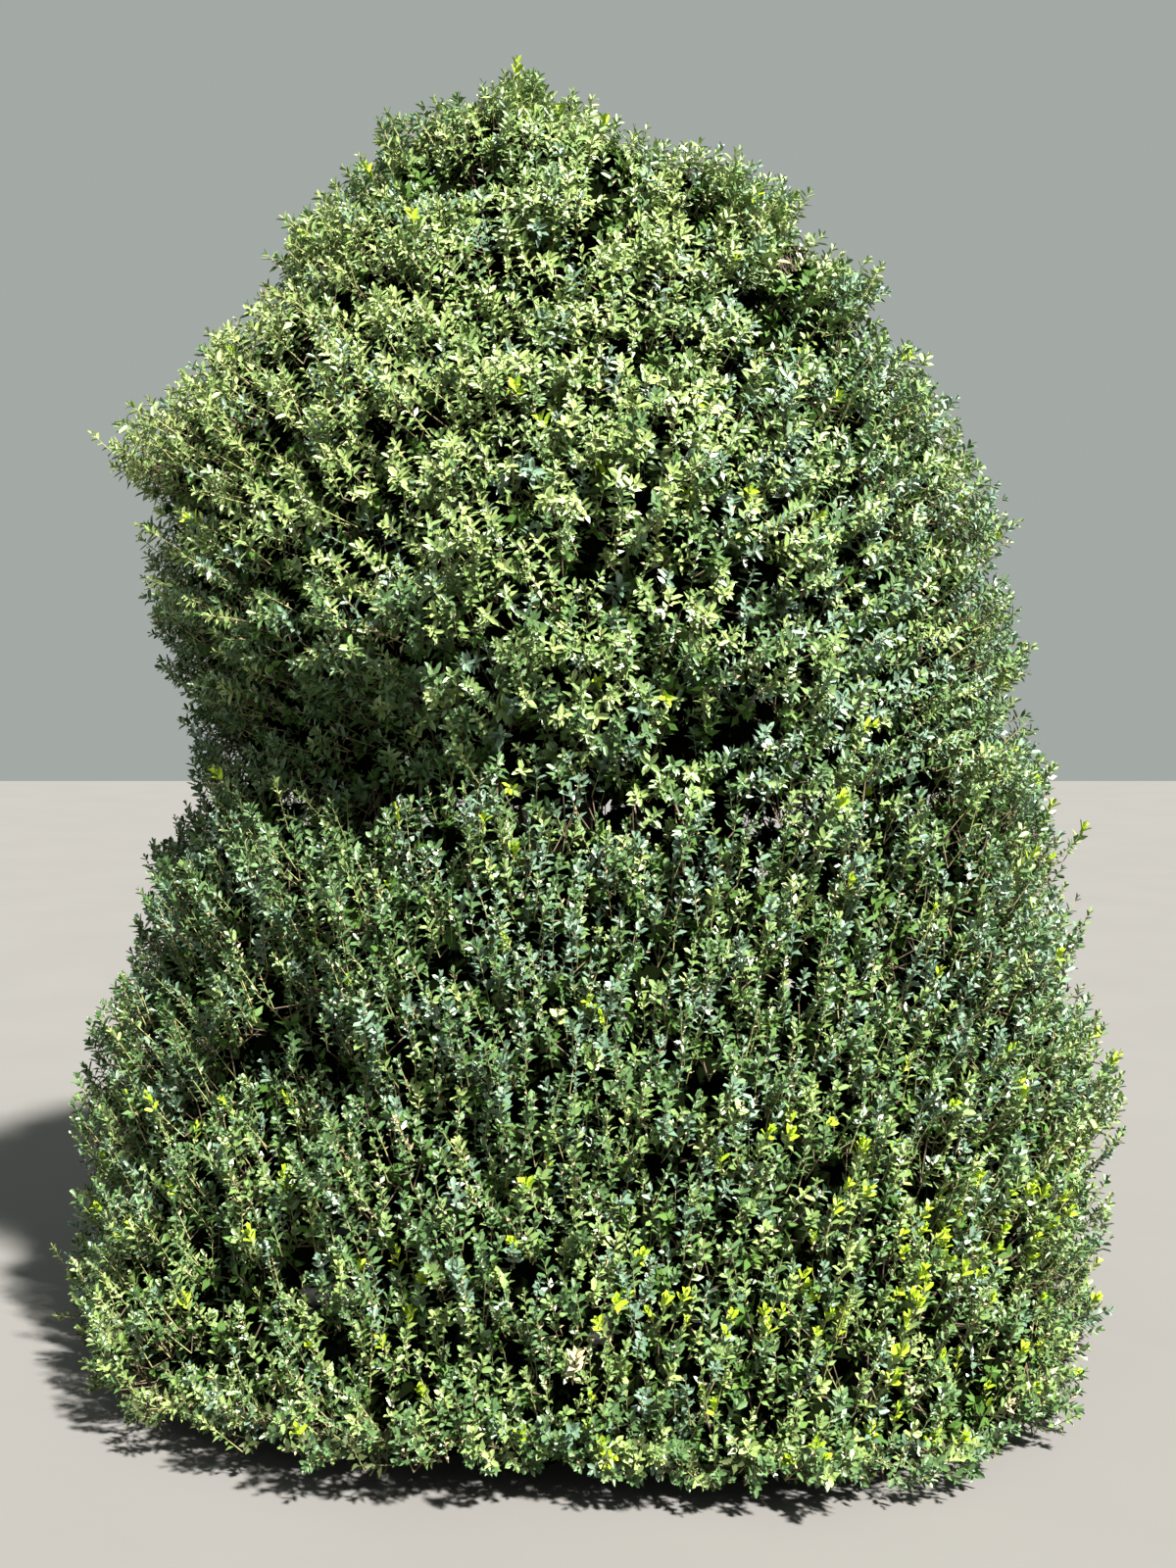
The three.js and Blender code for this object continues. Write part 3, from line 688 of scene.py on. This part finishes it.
def mesh_object(name, points, quads):
    """A smooth mesh from an array of points and an array of four-cornered faces."""
    mesh = bpy.data.meshes.new(name)
    mesh.vertices.add(len(points))
    mesh.vertices.foreach_set("co", np.asarray(points, dtype=np.float32).ravel())
    mesh.loops.add(quads.size)
    mesh.loops.foreach_set("vertex_index", quads.astype(np.int32).ravel())
    mesh.polygons.add(len(quads))
    mesh.polygons.foreach_set("loop_start", np.arange(0, quads.size, 4, dtype=np.int32))
    mesh.update(calc_edges=True)
    mesh.validate()
    mesh.shade_smooth()
    obj = bpy.data.objects.new(name, mesh)
    bpy.context.scene.collection.objects.link(obj)
    return obj


def leaf_object(name, leaves, outline):
    corners = leaf_corners(leaves, outline)
    first = np.arange(len(corners))[:, None, None] * corners.shape[1]
    quads = first + np.array(LEAF_FACES[len(outline)])
    return mesh_object(name, corners.reshape(-1, 3), quads.reshape(-1, 4))


def tube_object(name, paths, radii, sides):
    """Tapering twigs along paths, an array of paths by points by three."""
    steps = paths.shape[1]
    before = unit(np.diff(paths, axis=1) + SMALL_STEP)
    ways = np.concatenate([before[:, :1], before[:, 1:] + before[:, :-1], before[:, -1:]], axis=1)
    ways = unit(ways)
    guide = np.cross(ways[:, :1], UP + OFF_UP)
    side = unit(guide - np.sum(guide * ways, axis=-1, keepdims=True) * ways)
    other = np.cross(ways, side)
    turns = np.arange(sides) * TURN / sides
    ring = np.cos(turns)[:, None] * side[:, :, None] + np.sin(turns)[:, None] * other[:, :, None]
    radii = np.broadcast_to(np.asarray(radii), paths.shape[:2])
    points = paths[:, :, None] + ring * radii[:, :, None, None]
    first = (np.arange(len(paths)) * steps * sides)[:, None, None]
    row = (np.arange(steps - 1) * sides)[None, :, None]
    k = np.arange(sides)[None, None, :]
    after = (k + 1) % sides
    low = first + row
    high = low + sides
    quads = np.stack([low + k, low + after, high + after, high + k], axis=-1)
    return mesh_object(name, points.reshape(-1, 3), quads.reshape(-1, 4))


# Materials

# The kinds of leaves: dark and light colour, roughness and gloss
LEAF_LOOKS = {
    "deep": ((0.034, 0.085, 0.026), (0.116, 0.214, 0.074), 0.38, 0.8),
    "blue": ((0.061, 0.130, 0.078), (0.174, 0.282, 0.190), 0.36, 1.0),
    "mid": ((0.078, 0.159, 0.033), (0.230, 0.331, 0.112), 0.38, 1.0),
    "yellow": ((0.154, 0.252, 0.047), (0.348, 0.440, 0.164), 0.42, 0.9),
    "lime": ((0.230, 0.370, 0.012), (0.430, 0.570, 0.036), 0.45, 0.5),
    "dry": ((0.340, 0.285, 0.150), (0.620, 0.550, 0.350), 0.6, 0.3),
    # Shade leaves: painted a darker, greener tone for the shade among the twigs, painted shade
    "shade": ((0.028, 0.078, 0.010), (0.095, 0.190, 0.034), 0.55, 0.3),
    # Hem leaves: dark olive near the ground, painted shade under the crown's overhang
    "hem": ((0.024, 0.038, 0.011), (0.090, 0.116, 0.040), 0.55, 0.3),
    # Inner leaves: painted near black as the deep shade inside the crown, painted shade
    "inner": ((0.002, 0.003, 0.001), (0.004, 0.007, 0.002), 0.9, 0.0),
}

# Broad patches of the crown and fine specks on the leaves, and their shares in a leaf's shade
PATCH_SCALE = 5.0
PATCH_SHARE = 0.35
SPECK_SCALE = 170.0
SPECK_SHARE = 0.25
LEAF_NOISE_DETAIL = 2.0
LEAF_ROUGHER = (-0.08, 0.12)  # added to a leaf's roughness, from its smoothest specks on
LEAF_BUMP = {"Strength": 0.25, "Distance": 0.001}

BARK_ROUGHNESS = 0.85
BARK_GLOSS = 0.3
BARK_STRETCH = (1.0, 1.0, 0.3)
BARK_GRAIN = {"Detail": 6.0, "Roughness": 0.65}
BARK_STEPS = (0.32, 0.68)  # where the grain is quite dark, and where it is quite light
BARK_BUMP = {"Strength": 0.6, "Distance": 0.004}


def new_material(name, roughness, specular):
    material = bpy.data.materials.new(name)
    material.use_nodes = True
    shader = material.node_tree.nodes["Principled BSDF"]
    shader.inputs["Roughness"].default_value = roughness
    shader.inputs["Specular IOR Level"].default_value = specular
    return material, material.node_tree, shader


def add_node(tree, kind, **values):
    node = tree.nodes.new(kind)
    for name, value in values.items():
        node.inputs[name].default_value = value
    return node


def noise_node(tree, place, scale, **values):
    """Noise at a place, which is another node's output."""
    node = add_node(tree, "ShaderNodeTexNoise", Scale=scale, **values)
    tree.links.new(place, node.inputs["Vector"])
    return node.outputs["Fac"]


def mix_node(tree, first, second, share):
    """A value between two other nodes' outputs."""
    node = add_node(tree, "ShaderNodeMix", Factor=share)
    tree.links.new(first, node.inputs["A"])
    tree.links.new(second, node.inputs["B"])
    return node.outputs["Result"]


def color_node(tree, share, dark, light):
    """A colour between two, by another node's output."""
    node = tree.nodes.new("ShaderNodeMix")
    node.data_type = "RGBA"
    node.inputs["A"].default_value = (*dark, 1)
    node.inputs["B"].default_value = (*light, 1)
    tree.links.new(share, node.inputs["Factor"])
    return node.outputs["Result"]


def bump_surface(tree, shader, height, values):
    bump = add_node(tree, "ShaderNodeBump", **values)
    tree.links.new(height, bump.inputs["Height"])
    tree.links.new(bump.outputs["Normal"], shader.inputs["Normal"])


def leaf_material(name, dark, light, roughness, specular):
    """Each leaf takes its own shade between two greens, and broad patches of the crown too."""
    material, tree, shader = new_material(name, roughness, specular)
    place = tree.nodes.new("ShaderNodeTexCoord").outputs["Object"]
    leaf = tree.nodes.new("ShaderNodeNewGeometry").outputs["Random Per Island"]
    patches = noise_node(tree, place, PATCH_SCALE, Detail=LEAF_NOISE_DETAIL)
    specks = noise_node(tree, place, SPECK_SCALE, Detail=LEAF_NOISE_DETAIL)
    shade = mix_node(tree, leaf, patches, PATCH_SHARE)
    shade = mix_node(tree, shade, specks, SPECK_SHARE)
    tree.links.new(color_node(tree, shade, dark, light), shader.inputs["Base Color"])
    rough = tree.nodes.new("ShaderNodeMapRange")
    rough.inputs["To Min"].default_value = roughness + LEAF_ROUGHER[0]
    rough.inputs["To Max"].default_value = roughness + LEAF_ROUGHER[1]
    tree.links.new(specks, rough.inputs["Value"])
    tree.links.new(rough.outputs["Result"], shader.inputs["Roughness"])
    bump_surface(tree, shader, specks, LEAF_BUMP)
    return material


def bark_material(name, dark, light, scale):
    material, tree, shader = new_material(name, BARK_ROUGHNESS, BARK_GLOSS)
    place = tree.nodes.new("ShaderNodeTexCoord")
    stretch = add_node(tree, "ShaderNodeMapping", Scale=BARK_STRETCH)
    tree.links.new(place.outputs["Object"], stretch.inputs["Vector"])
    grain = noise_node(tree, stretch.outputs["Vector"], scale, **BARK_GRAIN)
    ramp = tree.nodes.new("ShaderNodeValToRGB")
    for stop, position, color in zip(ramp.color_ramp.elements, BARK_STEPS, (dark, light)):
        stop.position = position
        stop.color = (*color, 1)
    tree.links.new(grain, ramp.inputs["Fac"])
    tree.links.new(ramp.outputs["Color"], shader.inputs["Base Color"])
    bump_surface(tree, shader, grain, BARK_BUMP)
    return material


LEAF_KINDS = {kind: leaf_material(f"leaf_{kind}", *look) for kind, look in LEAF_LOOKS.items()}

# Bark: dark and light colour, and how fine its grain is
BARK = bark_material("bark_trunk", (0.080, 0.060, 0.045), (0.300, 0.250, 0.190), 30.0)
OLD_TWIG = bark_material("bark_twig", (0.060, 0.045, 0.030), (0.170, 0.130, 0.085), 90.0)
YOUNG_TWIG = bark_material("bark_shoot", (0.150, 0.160, 0.052), (0.400, 0.370, 0.170), 120.0)


# Which kind of leaf a shoot gets: for each tier and kind a weight for all shoots, and what is
# added by where the shoot stands. crown_places says what the places are.
KIND_WEIGHTS = {
    "lower": {
        # Deep leaves on the left above the foot, and at the hem, are painted shade.
        "deep": {"all": 0.38, "drift": -0.25, "left_waist_painted_shade": 1.5, "low": 0.14, "hem": 1.0},
        "blue": {"all": 0.38, "low": -0.24, "drift": 0.25},
        "mid": {"all": 0.24, "low": 0.2},
        "yellow": {"all": 0.05, "low": 0.08, "low_left": 0.08},
        "lime": {"sprigs": 0.016, "low_sprigs": 0.06, "sunny_sprigs": 0.55},
        # Near the ground, and most on the left, leaves are painted dark olive: painted shade
        # under the crown's overhang.
        "hem": {"hem": 0.4, "hem_left_painted_shade": 4.0},
        "dry": {"all": 0.003},
    },
    "upper": {
        # Deep leaves where the crown is unlit, and most in the hollow under the left shoulder,
        # are painted shade.
        "deep": {"all": 0.03, "shaded": 0.25, "right": 0.4, "left_hollow_painted_shade": 2.5},
        "blue": {"all": 0.08, "right": 0.38},
        "mid": {"all": 0.38, "drift": 0.15},
        # Yellow leaves high on the crown, fewer on the right: partly young leaves, partly painted
        # light where the crown's top is lit.
        "yellow": {"all": 0.13, "light": 0.55},
        "lime": {"all": 0.012},
        "dry": {"all": 0.002},
    },
    "top": {
        "deep": {"all": 0.16, "drift": -0.15},
        "blue": {"all": 0.10, "right": 0.1},
        "mid": {"all": 0.38, "drift": 0.15},
        # Yellow leaves on the side toward the sun are painted light.
        "yellow": {"all": 0.32, "sunny": 0.8},
        "lime": {"all": 0.02},
        "dry": {"all": 0.002},
    },
}
LEAST_WEIGHT = 0.001

# Where each place starts and over what width it sets in: to the side in x, the rest in height
SIDE = (0.1, 0.5)
SUN_SIDE = (-0.1, 0.4)
LOW = (0.8, 0.5)
# HEM: the band by the ground whose leaves are painted darker, painted shade
HEM = (0.16, 0.1)
# HOLLOW: the band under the left shoulder whose leaves are painted darker, painted shade
HOLLOW = (1.6, 0.2)
# LIGHT: the band of the lit upper crown, less on the right, whose leaves are painted lighter,
# painted light
LIGHT = (1.3, 0.5)
LIGHT_ON_RIGHT = 0.15
LOWEST_LIME = 0.1
SPRIG_LIME = 3  # makes sprigs lime four times as often as other shoots

# Random patches: broad drifts of deep or lighter greens, and clusters of young tips
DRIFT_SIZE = 0.3
CLUSTER_SIZE = 0.10
CLUSTER_GAIN = 5
CLUSTER_LIMIT = 2


def above(value, start, width):
    """From 0 at the start to 1 at this width above it."""
    return np.clip((value - start) / width, 0, 1)


def below(value, start, width):
    """From 0 at the start to 1 at this width below it."""
    return np.clip((start - value) / width, 0, 1)


def crown_places(shoots):
    """How much each shoot belongs to each named place or random patch."""
    z = shoots["z"]
    x = shoots["tip"][:, 0]
    right = above(x, *SIDE)
    left = above(-x, *SIDE)
    low = below(z, *LOW)
    # By the ground, where leaves are painted darker: painted shade
    hem = below(z, *HEM)
    # Where the upper crown is lit and where it is unlit: its leaves are painted lighter and
    # darker there, painted light and shade.
    light = above(z, *LIGHT) * (1 - (1 - LIGHT_ON_RIGHT) * right)
    # The side toward the sun: there the top's leaves are painted yellower, painted light, and
    # lime shoots gather low down.
    sunny = above(x, *SUN_SIDE) * np.clip(-np.sin(shoots["angle"]), 0, 1)
    clusters = np.clip(CLUSTER_GAIN * place_noise(shoots["tip"], CLUSTER_SIZE), 0, CLUSTER_LIMIT)
    sprigs = (1 + SPRIG_LIME * shoots["sprig"]) * (z > LOWEST_LIME)
    return {
        "all": np.ones(len(z)),
        "drift": place_noise(shoots["tip"], DRIFT_SIZE),
        "right": right,
        "low": low,
        "low_left": low * left,
        "left_waist_painted_shade": left * (1 - low),
        "left_hollow_painted_shade": below(z, *HOLLOW) * left,
        "hem": hem,
        "hem_left_painted_shade": hem * left,
        "light": light,
        "shaded": (1 - light) * (1 - right),
        "sunny": sunny,
        "sprigs": sprigs,
        "low_sprigs": low * clusters * sprigs,
        "sunny_sprigs": low * sunny * clusters * sprigs,
    }


def deal_kinds(name, shoots, rng):
    """Each shoot gets one kind of leaf, by where it stands."""
    places = crown_places(shoots)
    kinds = list(KIND_WEIGHTS[name])
    rows = []
    for weights in KIND_WEIGHTS[name].values():
        rows.append(sum(weight * places[place] for place, weight in weights.items()))
    table = np.clip(np.stack(rows), LEAST_WEIGHT, None)
    steps = np.cumsum(table / table.sum(axis=0), axis=0)
    picks = (rng.random(len(shoots["z"])) > steps).sum(axis=0)
    return np.array(kinds)[np.minimum(picks, len(kinds) - 1)]


# Growing the whole plant

CURVE_STEPS = 48  # of a bough's curve, whose last step points to its mass

# Radii along each kind of twig, how many sides it has, and its bark
TWIG_SHAPES = {
    "stems": ([0.012, 0.010], 8, OLD_TWIG),
    "limbs": ([0.008, 0.007, 0.003], 6, OLD_TWIG),
    "twigs": ([0.0042, 0.0038, 0.0032, 0.0018], 3, OLD_TWIG),
    "shoot_feet": ([0.0018, 0.0016], 3, OLD_TWIG),
    "shoots": ([0.0014, 0.0006], 3, YOUNG_TWIG),
}


def join(parts):
    return {key: np.concatenate([part[key] for part in parts]) for key in parts[0]}


def dress(piece, material, nodes):
    piece.data.materials.append(material)
    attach(piece, "root")
    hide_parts(*nodes)


def add_leaf_pieces(name, kind, leaves, outline, nodes):
    """One kind's leaves, in pieces of up to PIECE_LEAVES."""
    count = max(1, math.ceil(len(leaves["root"]) / PIECE_LEAVES))
    for k in range(count):
        part = {key: value[k::count] for key, value in leaves.items()}
        suffix = f"_{k + 1}" if count > 1 else ""
        piece = leaf_object(f"{name}{suffix}", part, outline)
        dress(piece, LEAF_KINDS[kind], nodes)


def age_leaves(name, leaves, rng):
    """Leaves down a young shoot are of an older kind, and some are dry and small."""
    kind = leaves["kind"]
    for young, old, first in YOUNG_TIPS:
        kind = np.where((kind == young) & (leaves["pair"] >= first), old, kind)
    dry = rng.random(len(kind)) < DRY_SHARE[name]
    leaves["kind"] = np.where(dry, "dry", kind)
    for size in ("length", "width"):
        leaves[size] = np.where(dry, leaves[size] * DRY_SIZE, leaves[size])


def grow_mass(k, mass):
    """A mass of foliage on the tip of its bough."""
    _, tier_name, facing, wide = mass
    tier = TIERS[tier_name]
    rng = np.random.default_rng(SEED + k)
    at = math.radians(facing)
    curve = bezier(bough_points(tier_name, at, k), CURVE_STEPS)
    way = unit(curve[-1] - curve[-2])
    heart = curve[-1] + way * (BOUGH_GAP + STEM_REACH)
    angle, z = twig_places(tier, at, math.radians(wide), tier["tufts"])
    limbs = grow_limbs(tier, heart, angle, z)
    z = np.maximum(z, hem_height(outline_point(angle, z)) + TUFT_OVER_HEM)
    tufts = grow_tufts(tier, limbs, angle, z, rng)
    shoots = grow_shoots(tier_name, tier, tufts, angle, z, rng)
    kinds = deal_kinds(tier_name, shoots, rng)
    leaves = grow_leaves(tier_name, shoots, kinds, rng)
    leaves["kind"] = kinds[leaves.pop("shoot")]
    age_leaves(tier_name, leaves, rng)
    shade = grow_twig_leaves(SHADE_LEAVES, tufts, angle, z, rng)
    inner = grow_twig_leaves(INNER_LEAVES, tufts, angle, z, rng)
    stem = np.stack([curve[-1] + way * STEM_CLEARANCE, heart])[None]
    return {
        "stem": stem,
        "limbs": limbs,
        "tufts": tufts,
        "shoots": shoots,
        "leaves": leaves,
        "shade": shade,
        "inner": inner,
    }


def add_shoot_leaves(tier_name, grown, nodes):
    """The shoots' leaves by kind, those near the tip and those further down."""
    leaves = join([mass["leaves"] for mass in grown])
    kinds = leaves.pop("kind")
    fine = leaves.pop("pair") < FINE_PAIRS
    for kind in LEAF_KINDS:
        tip_outline = PLAIN_OUTLINE if kind == "dry" else LEAF_OUTLINES[tier_name]
        for group, rows, outline in (("tip", fine, tip_outline), ("low", ~fine, PLAIN_OUTLINE)):
            own = rows & (kinds == kind)
            if own.any():
                chosen = {key: value[own] for key, value in leaves.items()}
                name = f"leaves_{tier_name}_{kind}_{group}"
                add_leaf_pieces(name, kind, chosen, outline, nodes)


def add_twigs(tier_name, grown, nodes):
    """Stems, limbs, twigs and shoots, one piece each."""
    shoots = join([mass["shoots"] for mass in grown])
    paths = {
        "stems": np.concatenate([mass["stem"] for mass in grown]),
        "limbs": np.concatenate([mass["limbs"] for mass in grown]),
        "twigs": np.concatenate([mass["tufts"] for mass in grown]),
        "shoot_feet": np.stack([shoots["start"], shoots["base"]], axis=1),
        "shoots": np.stack([shoots["base"], shoots["tip"]], axis=1),
    }
    for group, (radii, sides, bark) in TWIG_SHAPES.items():
        twigs = tube_object(f"{group}_{tier_name}", paths[group], radii, sides)
        dress(twigs, bark, nodes)


def add_tier(tier_name):
    masses = [(k, mass) for k, mass in enumerate(MASSES) if mass[1] == tier_name]
    nodes = [f"foliage_{mass[0]}" for _, mass in masses]
    grown = [grow_mass(k, mass) for k, mass in masses]
    add_shoot_leaves(tier_name, grown, nodes)
    # The shade leaves, and the inner leaves, painted near black as painted shade
    for kind in ("shade", "inner"):
        leaves = join([mass[kind] for mass in grown])
        add_leaf_pieces(f"leaves_{tier_name}_{kind}", kind, leaves, PLAIN_OUTLINE, nodes)
    add_twigs(tier_name, grown, nodes)


# Trunk and boughs, with the bark's relief

BARK_RELIEF = 0.0035
RELIEF_ROUND = 45  # how fine it is round the trunk
RELIEF_ALONG = 14  # and along it
RELIEF_RADIUS = 0.07
RELIEF_FADE = 4  # rows at each end of the trunk
TRUNK_SIDES = 72
TRUNK_ROWS = 56

# Rings that close the trunk's top: share of its radius, how deep under its rim
TRUNK_TOP = [(0.6, 0.004), (0.15, 0.012)]

BOUGH_SIDES = 14
BOUGH_STEPS = 44
KNOT_SCALE = 60
KNOT_SHARE = 0.09  # of the bough's radius


def trunk_radius(angle, z):
    flare = math.exp(-z / FLARE_HEIGHT)
    ridges = ROOT_RIDGE * math.cos(ROOTS * angle)
    fork = min(max((z - TRUNK_HEIGHT + TRUNK_SWELL) / TRUNK_SWELL, 0), 1)
    return TRUNK_WAIST + flare * (FLARE + ridges) + fork * fork * (TRUNK_FORK - TRUNK_WAIST)


def relief(angle, z):
    x = math.cos(angle) * RELIEF_RADIUS * RELIEF_ROUND
    y = math.sin(angle) * RELIEF_RADIUS * RELIEF_ROUND
    return BARK_RELIEF * (1 - 2 * abs(noise.noise(Vector((x, y, z * RELIEF_ALONG)))))


def ring_quads(rows, sides):
    row = (np.arange(rows - 1) * sides)[:, None]
    k = np.arange(sides)[None, :]
    after = (k + 1) % sides
    quads = np.stack([row + k, row + after, row + sides + after, row + sides + k], axis=-1)
    return quads.reshape(-1, 4)


def add_trunk():
    angles = [TURN * k / TRUNK_SIDES for k in range(TRUNK_SIDES)]
    points = []
    for row in range(TRUNK_ROWS):
        z = TRUNK_HEIGHT * row / (TRUNK_ROWS - 1)
        lean = TRUNK_LEAN * z / TRUNK_HEIGHT
        ends = min(1.0, row / RELIEF_FADE, (TRUNK_ROWS - 1 - row) / RELIEF_FADE)
        for angle in angles:
            radius = trunk_radius(angle, z) - BARK_RELIEF + relief(angle, z) * ends
            points.append((lean + radius * math.cos(angle), radius * math.sin(angle), z))
    for share, drop in TRUNK_TOP:
        radius = TRUNK_FORK * share
        z = TRUNK_HEIGHT - drop
        for angle in angles:
            points.append((TRUNK_LEAN + radius * math.cos(angle), radius * math.sin(angle), z))
    quads = ring_quads(TRUNK_ROWS + len(TRUNK_TOP), TRUNK_SIDES)
    dress(mesh_object("trunk_bark", np.array(points), quads), BARK, ["trunk"])


def add_bough(k, mass):
    place, tier_name, facing, _ = mass
    path = bezier(bough_points(tier_name, math.radians(facing), k), BOUGH_STEPS)
    radii = np.linspace(*TIERS[tier_name]["radii"], BOUGH_STEPS + 1)
    bough = tube_object(f"bark_{place}", path[None], radii[None], BOUGH_SIDES)
    points = np.empty(len(bough.data.vertices) * 3, dtype=np.float32)
    bough.data.vertices.foreach_get("co", points)
    points = points.reshape(-1, 3)
    for n, point in enumerate(points):
        middle = path[n // BOUGH_SIDES]
        rise = noise.noise(Vector(point.tolist()) * KNOT_SCALE) * KNOT_SHARE
        points[n] = middle + (point - middle) * (1 + rise)
    bough.data.vertices.foreach_set("co", points.ravel())
    bough.data.update()
    dress(bough, BARK, [f"bough_{place}"])


# Camera, light and floor

# The camera, fitted to the photo: focal length and height of the frame in its pixels
FOCAL_PIXELS = 2310
FRAME_PIXELS = 1600
SENSOR = 36
CAMERA_PLACE = (0, -4.75, 1.55)
CAMERA_TILT = 4.8  # degrees, down
CAMERA_REACH = 60

SUN_PLACE = (0.36, -0.56, 0.75)
SUN_STRENGTH = 15.4
SUN_SPREAD = 4.0
SUN_COLOR = (1.0, 0.96, 0.90)
SKY_COLOR = (0.80, 0.87, 0.82)
SKY_STRENGTH = 0.46

FLOOR_HALF = 14.0
FLOOR_CORNERS = ((-1, -1), (1, -1), (1, 1), (-1, 1))
FLOOR_DARK = (0.150, 0.148, 0.143)
FLOOR_LIGHT = (0.165, 0.163, 0.157)
FLOOR_ROUGHNESS = 0.9
FLOOR_GLOSS = 0.2
FLOOR_GRAIN = 2.0
FLOOR_DETAIL = 3.0


def add_camera():
    data = bpy.data.cameras.new("camera")
    data.lens = FOCAL_PIXELS / FRAME_PIXELS * SENSOR
    data.sensor_width = SENSOR
    data.clip_end = CAMERA_REACH
    camera = bpy.data.objects.new("camera", data)
    camera.location = CAMERA_PLACE
    camera.rotation_euler = (math.radians(90 - CAMERA_TILT), 0, 0)
    bpy.context.scene.collection.objects.link(camera)
    bpy.context.scene.camera = camera


def add_sun():
    data = bpy.data.lights.new("key", "SUN")
    data.energy = SUN_STRENGTH
    data.angle = math.radians(SUN_SPREAD)
    data.color = SUN_COLOR
    sun = bpy.data.objects.new("key", data)
    sun.rotation_euler = (-Vector(SUN_PLACE)).to_track_quat("-Z", "Y").to_euler()
    bpy.context.scene.collection.objects.link(sun)


def add_floor():
    mesh = bpy.data.meshes.new("floor")
    corners = [(FLOOR_HALF * x, FLOOR_HALF * y, 0) for x, y in FLOOR_CORNERS]
    mesh.from_pydata(corners, [], [(0, 1, 2, 3)])
    floor = bpy.data.objects.new("floor", mesh)
    bpy.context.scene.collection.objects.link(floor)
    material, tree, shader = new_material("floor_paint", FLOOR_ROUGHNESS, FLOOR_GLOSS)
    place = tree.nodes.new("ShaderNodeTexCoord").outputs["Object"]
    grain = noise_node(tree, place, FLOOR_GRAIN, Detail=FLOOR_DETAIL)
    color = color_node(tree, grain, FLOOR_DARK, FLOOR_LIGHT)
    tree.links.new(color, shader.inputs["Base Color"])
    mesh.materials.append(material)


def add_world():
    world = bpy.data.worlds.new("studio")
    world.use_nodes = True
    sky = world.node_tree.nodes["Background"]
    sky.inputs["Color"].default_value = (*SKY_COLOR, 1)
    sky.inputs["Strength"].default_value = SKY_STRENGTH
    bpy.context.scene.world = world


add_camera()
add_world()
add_floor()
add_sun()
bpy.context.scene.view_settings.view_transform = "Standard"
bpy.context.scene.view_settings.look = "None"

add_trunk()
for number, mass in enumerate(MASSES):
    add_bough(number, mass)
for tier_name in TIERS:
    add_tier(tier_name)
